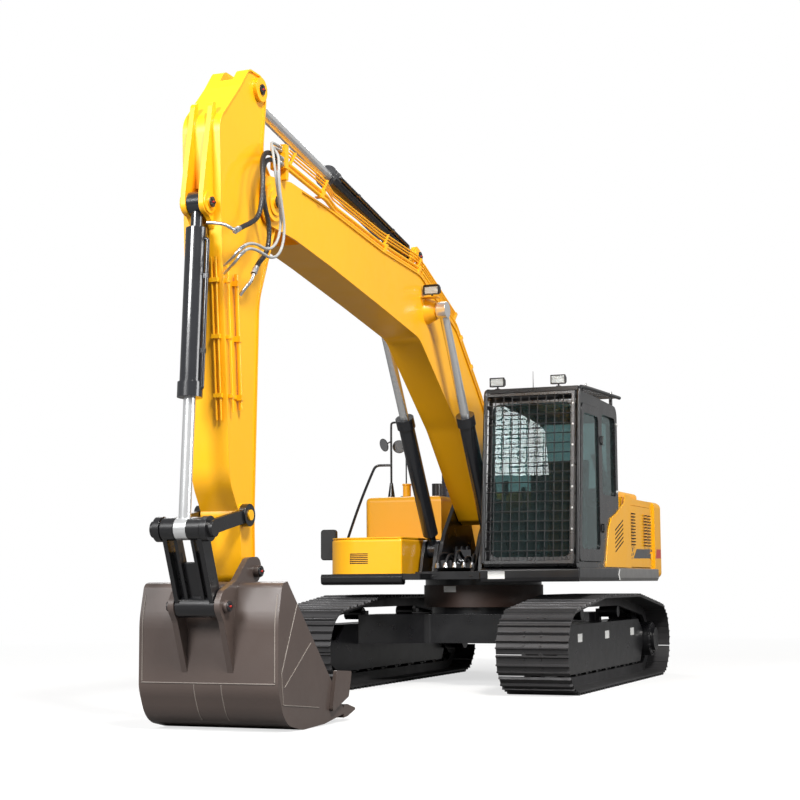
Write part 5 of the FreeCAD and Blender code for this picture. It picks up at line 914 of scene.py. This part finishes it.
def add_box_details():
    """Lid of the tool box with painted shade for its louvre, the tank's filler neck, the filters and the
    intake behind the cab.
    """
    lid, dark = Shape(), Shape()
    lid.slab_z([(-1.342, -1.270, 0.36), (-0.456, -1.270, 0.06), (-0.456, -0.115, 0.02),
                (-1.342, -0.115, 0.02)], 1.5102, 1.524)
    lid.rod((-0.960, 0.215, TANK_TOP), (-0.960, 0.215, 2.140), 0.045, 32)
    lid.rod((-0.960, 0.215, 2.140), (-0.960, 0.215, 2.156), 0.054, 32, 0.050)
    lid.done("box_lid", "upper", "body_yellow")
    # the tool box's louvre: near-black strips on its front, painted shade for the openings
    for i in range(6):
        z = 1.255 + i * 0.019
        front = touch("tool_box", (-0.92, -FAR, z), BACKWARD)[0].y
        dark.box((-1.020, front - 0.0012, z), (-0.820, front - 0.0002, z + 0.010))
    dark.done("box_louvre_shade", "upper", "painted_shade_black", "chassis_black")
    filters = Shape()
    for x, y, low, high, radius in ((-0.60, 0.62, 1.99, 2.38, 0.085), (-0.46, 0.72, 1.99, 2.46, 0.095),
                                    (-0.33, 0.60, 1.99, 2.36, 0.080)):
        filters.rod((x, y, low), (x, y, high - radius * 0.5), radius, 32)
        filters.ball((x, y, high - radius * 0.6), radius)
        for k in range(4):
            z = low + 0.05 + k * 0.05
            filters.ring((x, y, z), UP, radius, 0.005)
    filters.done("air_filters", "upper", "filter_blue", "chassis_black")
    pipe = Shape()
    pipe.tube([(1.18, y, z) for y, z in ((0.640, 1.990), (0.640, 2.100), (0.560, 2.200), (0.440, 2.300),
                                         (0.380, 2.400))], 0.055, 20)
    pipe.rod((1.18, 0.640, 1.994), (1.18, 0.640, 2.012), 0.075, 28)
    pipe.rod((1.18, 0.380, 2.390), (1.18, 0.366, 2.420), 0.062, 28)
    pipe.done("snorkel", "upper", "cab_plastic")


def add_hose_pipes():
    """Block that the hoses leave at the boom's pipes and the bent pipes they join on the arm."""
    block = Shape()
    block.box((0.100, -5.495, 4.300), (0.232, -5.440, 4.492))
    block.box((0.150, -5.445, 4.250), (0.215, -5.400, 4.492))
    block.done("hose_block", "boom", "body_yellow")
    pipes = Shape()
    thick, thin = 0.013, 0.010
    for radius, *points in (
            (thick, (0.306, -6.498, 3.592), (0.300, -6.545, 3.600), (0.240, -6.570, 3.640),
                    (0.120, -6.580, 3.650)),
            (thin, (0.343, -6.498, 3.452), (0.335, -6.525, 3.425), (0.280, -6.500, 3.385),
                   (0.180, -6.420, 3.360)),
            (thin, (0.374, -6.548, 3.402), (0.365, -6.565, 3.370), (0.290, -6.520, 3.330),
                   (0.180, -6.420, 3.300)),
            (thick, (0.262, -6.108, 3.347), (0.255, -6.125, 3.290), (0.215, -6.150, 3.240),
                    (0.175, -6.160, 3.180))):
        pipes.tube(points, radius, 16)
    pipes.done("hose_pipes", "arm", "fitting_steel", "rod_chrome")


def bucket_back(x, z):
    """Point just off the bucket's rounded back."""
    place, normal = touch("bucket", (x, -8.0, z), BACKWARD)
    return tuple(place + normal * 0.001)


def add_bucket_back():
    """Weld beads and seams on the bucket's back."""
    beads = Shape()
    for x, low, high, steps, radius in ((-0.535, 0.36, 0.98, 14, 0.0045), (0.535, 0.36, 0.98, 14, 0.0045),
                                        (-0.110, 0.08, 0.34, 8, 0.0035), (0.110, 0.08, 0.34, 8, 0.0035)):
        beads.bead([bucket_back(x, low + (high - low) * i / steps) for i in range(steps + 1)], radius)
    for z in (0.350, 0.700):
        points = [bucket_back(-0.54 + i * 0.0675, z) for i in range(17)]
        depths = [point[1] for point in points]
        if max(depths) - min(depths) < 0.05:
            beads.bead(points, 0.004)
    beads.done("bucket_beads", "bucket", "weld_grey", "bucket_brown")


def add_bucket_side():
    """Weld beads on the bucket's left side, as far as their lines lie on it."""
    side = Shape()
    for start, end in (((-5.95, 0.98), (-6.25, 0.42)), ((-5.75, 0.62), (-6.20, 0.32)),
                       ((-6.25, 0.42), (-6.22, 0.20)), ((-6.22, 0.20), (-5.60, 0.14))):
        points = []
        for i in range(9):
            y, z = Vector(start).lerp(Vector(end), i / 8.0)
            place = near("bucket", (FAR, y, z), LEFT)
            if place is not None and place.x > 0.45:
                points.append((place.x + 0.001, y, z))
        if len(points) > 2:
            side.bead(points, 0.004)
    side.done("bucket_side_beads", "bucket", "weld_grey", "bucket_brown")


def add_deck_skirt():
    """Rounded black edge under the tool box."""
    skirt = Shape()
    skirt.slab_x([(-1.293, 1.148), (-1.310, 1.120, 0.020), (-1.305, 1.050, 0.030), (-1.230, 1.036, 0.030),
                  (-1.200, 1.060), (-1.200, 1.148)], -1.335, -0.440)
    skirt.done("box_skirt", "upper", "chassis_black")


def add_clamp_bolts():
    """Bright bolts on the clamps of the boom's pipes."""
    shape = Shape()
    for y in (-2.45, -2.46, -3.31, -3.34):
        for x in (0.146, 0.160):
            shape.bolt(touch("boom_pipes", (x, y, 6.0), DOWN)[0], UP, 0.006)
    shape.done("clamp_bolts", "boom", "bolt_zinc", "rod_chrome")


# ---------------- studio
FLOOR_GLOW = 0.66       # share of the floor's white that no shadow darkens
FLOOR_BOUNCE = 0.17     # what the floor gives back to the machine's undersides
SKY = 0.34


def add_floor():
    mesh = bpy.data.meshes.new("floor")
    size = 60.0
    mesh.from_pydata(rectangle(-size, size, -size, size, 0.0), [], [(0, 1, 2, 3)])
    floor = bpy.data.objects.new("floor", mesh)
    bpy.context.scene.collection.objects.link(floor)
    nodes = Nodes("floor")
    nodes.tree.nodes.remove(nodes.shader)
    seen = nodes.seen()
    speck = nodes.mix(nodes.noise(2.0), (0.88, 0.88, 0.88, 1.0), (0.92, 0.92, 0.92, 1.0))
    speck = nodes.mix(seen, (FLOOR_BOUNCE, FLOOR_BOUNCE, FLOOR_BOUNCE, 1.0), speck)
    diffuse = nodes.add("ShaderNodeBsdfDiffuse", {"Color": speck})
    glow = nodes.add("ShaderNodeEmission", {"Color": (1.0, 1.0, 1.0, 1.0), "Strength": 1.0})
    away = nodes.add("ShaderNodeVectorMath", {0: nodes.place()}, operation="LENGTH").outputs["Value"]
    fade = nodes.spread(away, 5.0, 15.0, FLOOR_GLOW, 1.0)
    share = nodes.add("ShaderNodeMath", {0: seen, 1: fade}, operation="MULTIPLY")
    blend = nodes.add("ShaderNodeMixShader", {0: share.outputs[0], 1: diffuse.outputs[0], 2: glow.outputs[0]})
    nodes.set(nodes.tree.nodes["Material Output"], "Surface", blend.outputs[0])
    mesh.materials.append(nodes.owner)


def add_world():
    nodes = Nodes("studio", bpy.data.worlds.new("studio"))
    bpy.context.scene.world = nodes.look({"Color": (1.0, 1.0, 1.0, 1.0),
                                          "Strength": nodes.spread(nodes.seen(), 0.0, 1.0, SKY, 1.0)})


def add_area(name, place, target, size, power, color=(1.0, 1.0, 1.0)):
    data = bpy.data.lights.new(name, "AREA")
    data.size = size
    data.energy = power
    data.color = color
    light = bpy.data.objects.new(name, data)
    light.location = place
    light.rotation_euler = (Vector(target) - Vector(place)).to_track_quat("-Z", "Y").to_euler()
    bpy.context.scene.collection.objects.link(light)


def add_studio():
    add_floor()
    add_world()
    middle = (0.0, -2.0, 2.0)
    add_area("key", (9.0, -13.0, 15.0), middle, 3.5, 4300.0, (1.0, 0.98, 0.94))
    add_area("front", (-3.0, -18.0, 9.0), middle, 5.0, 2500.0)
    add_area("side", (15.0, -3.0, 6.0), middle, 6.0, 1000.0)
    add_area("back", (-8.0, 12.0, 12.0), middle, 8.0, 900.0)


add_camera()
bpy.context.view_layer.update()
materials = make_materials()
add_hoses()
add_hose_pipes()
dress_nodes()
add_pin_ends()
add_shoe_bolts()
add_hub_bolts()
add_guard_bolts()
add_marks()
add_lamps()
add_mirror_faces()
add_deck_pipes()
add_cab_controls()
add_small_fittings()
add_clamp_bolts()
add_cab_guard()
add_left_side()
add_rails()
add_box_details()
add_bucket_back()
add_bucket_side()
add_deck_skirt()
add_studio()
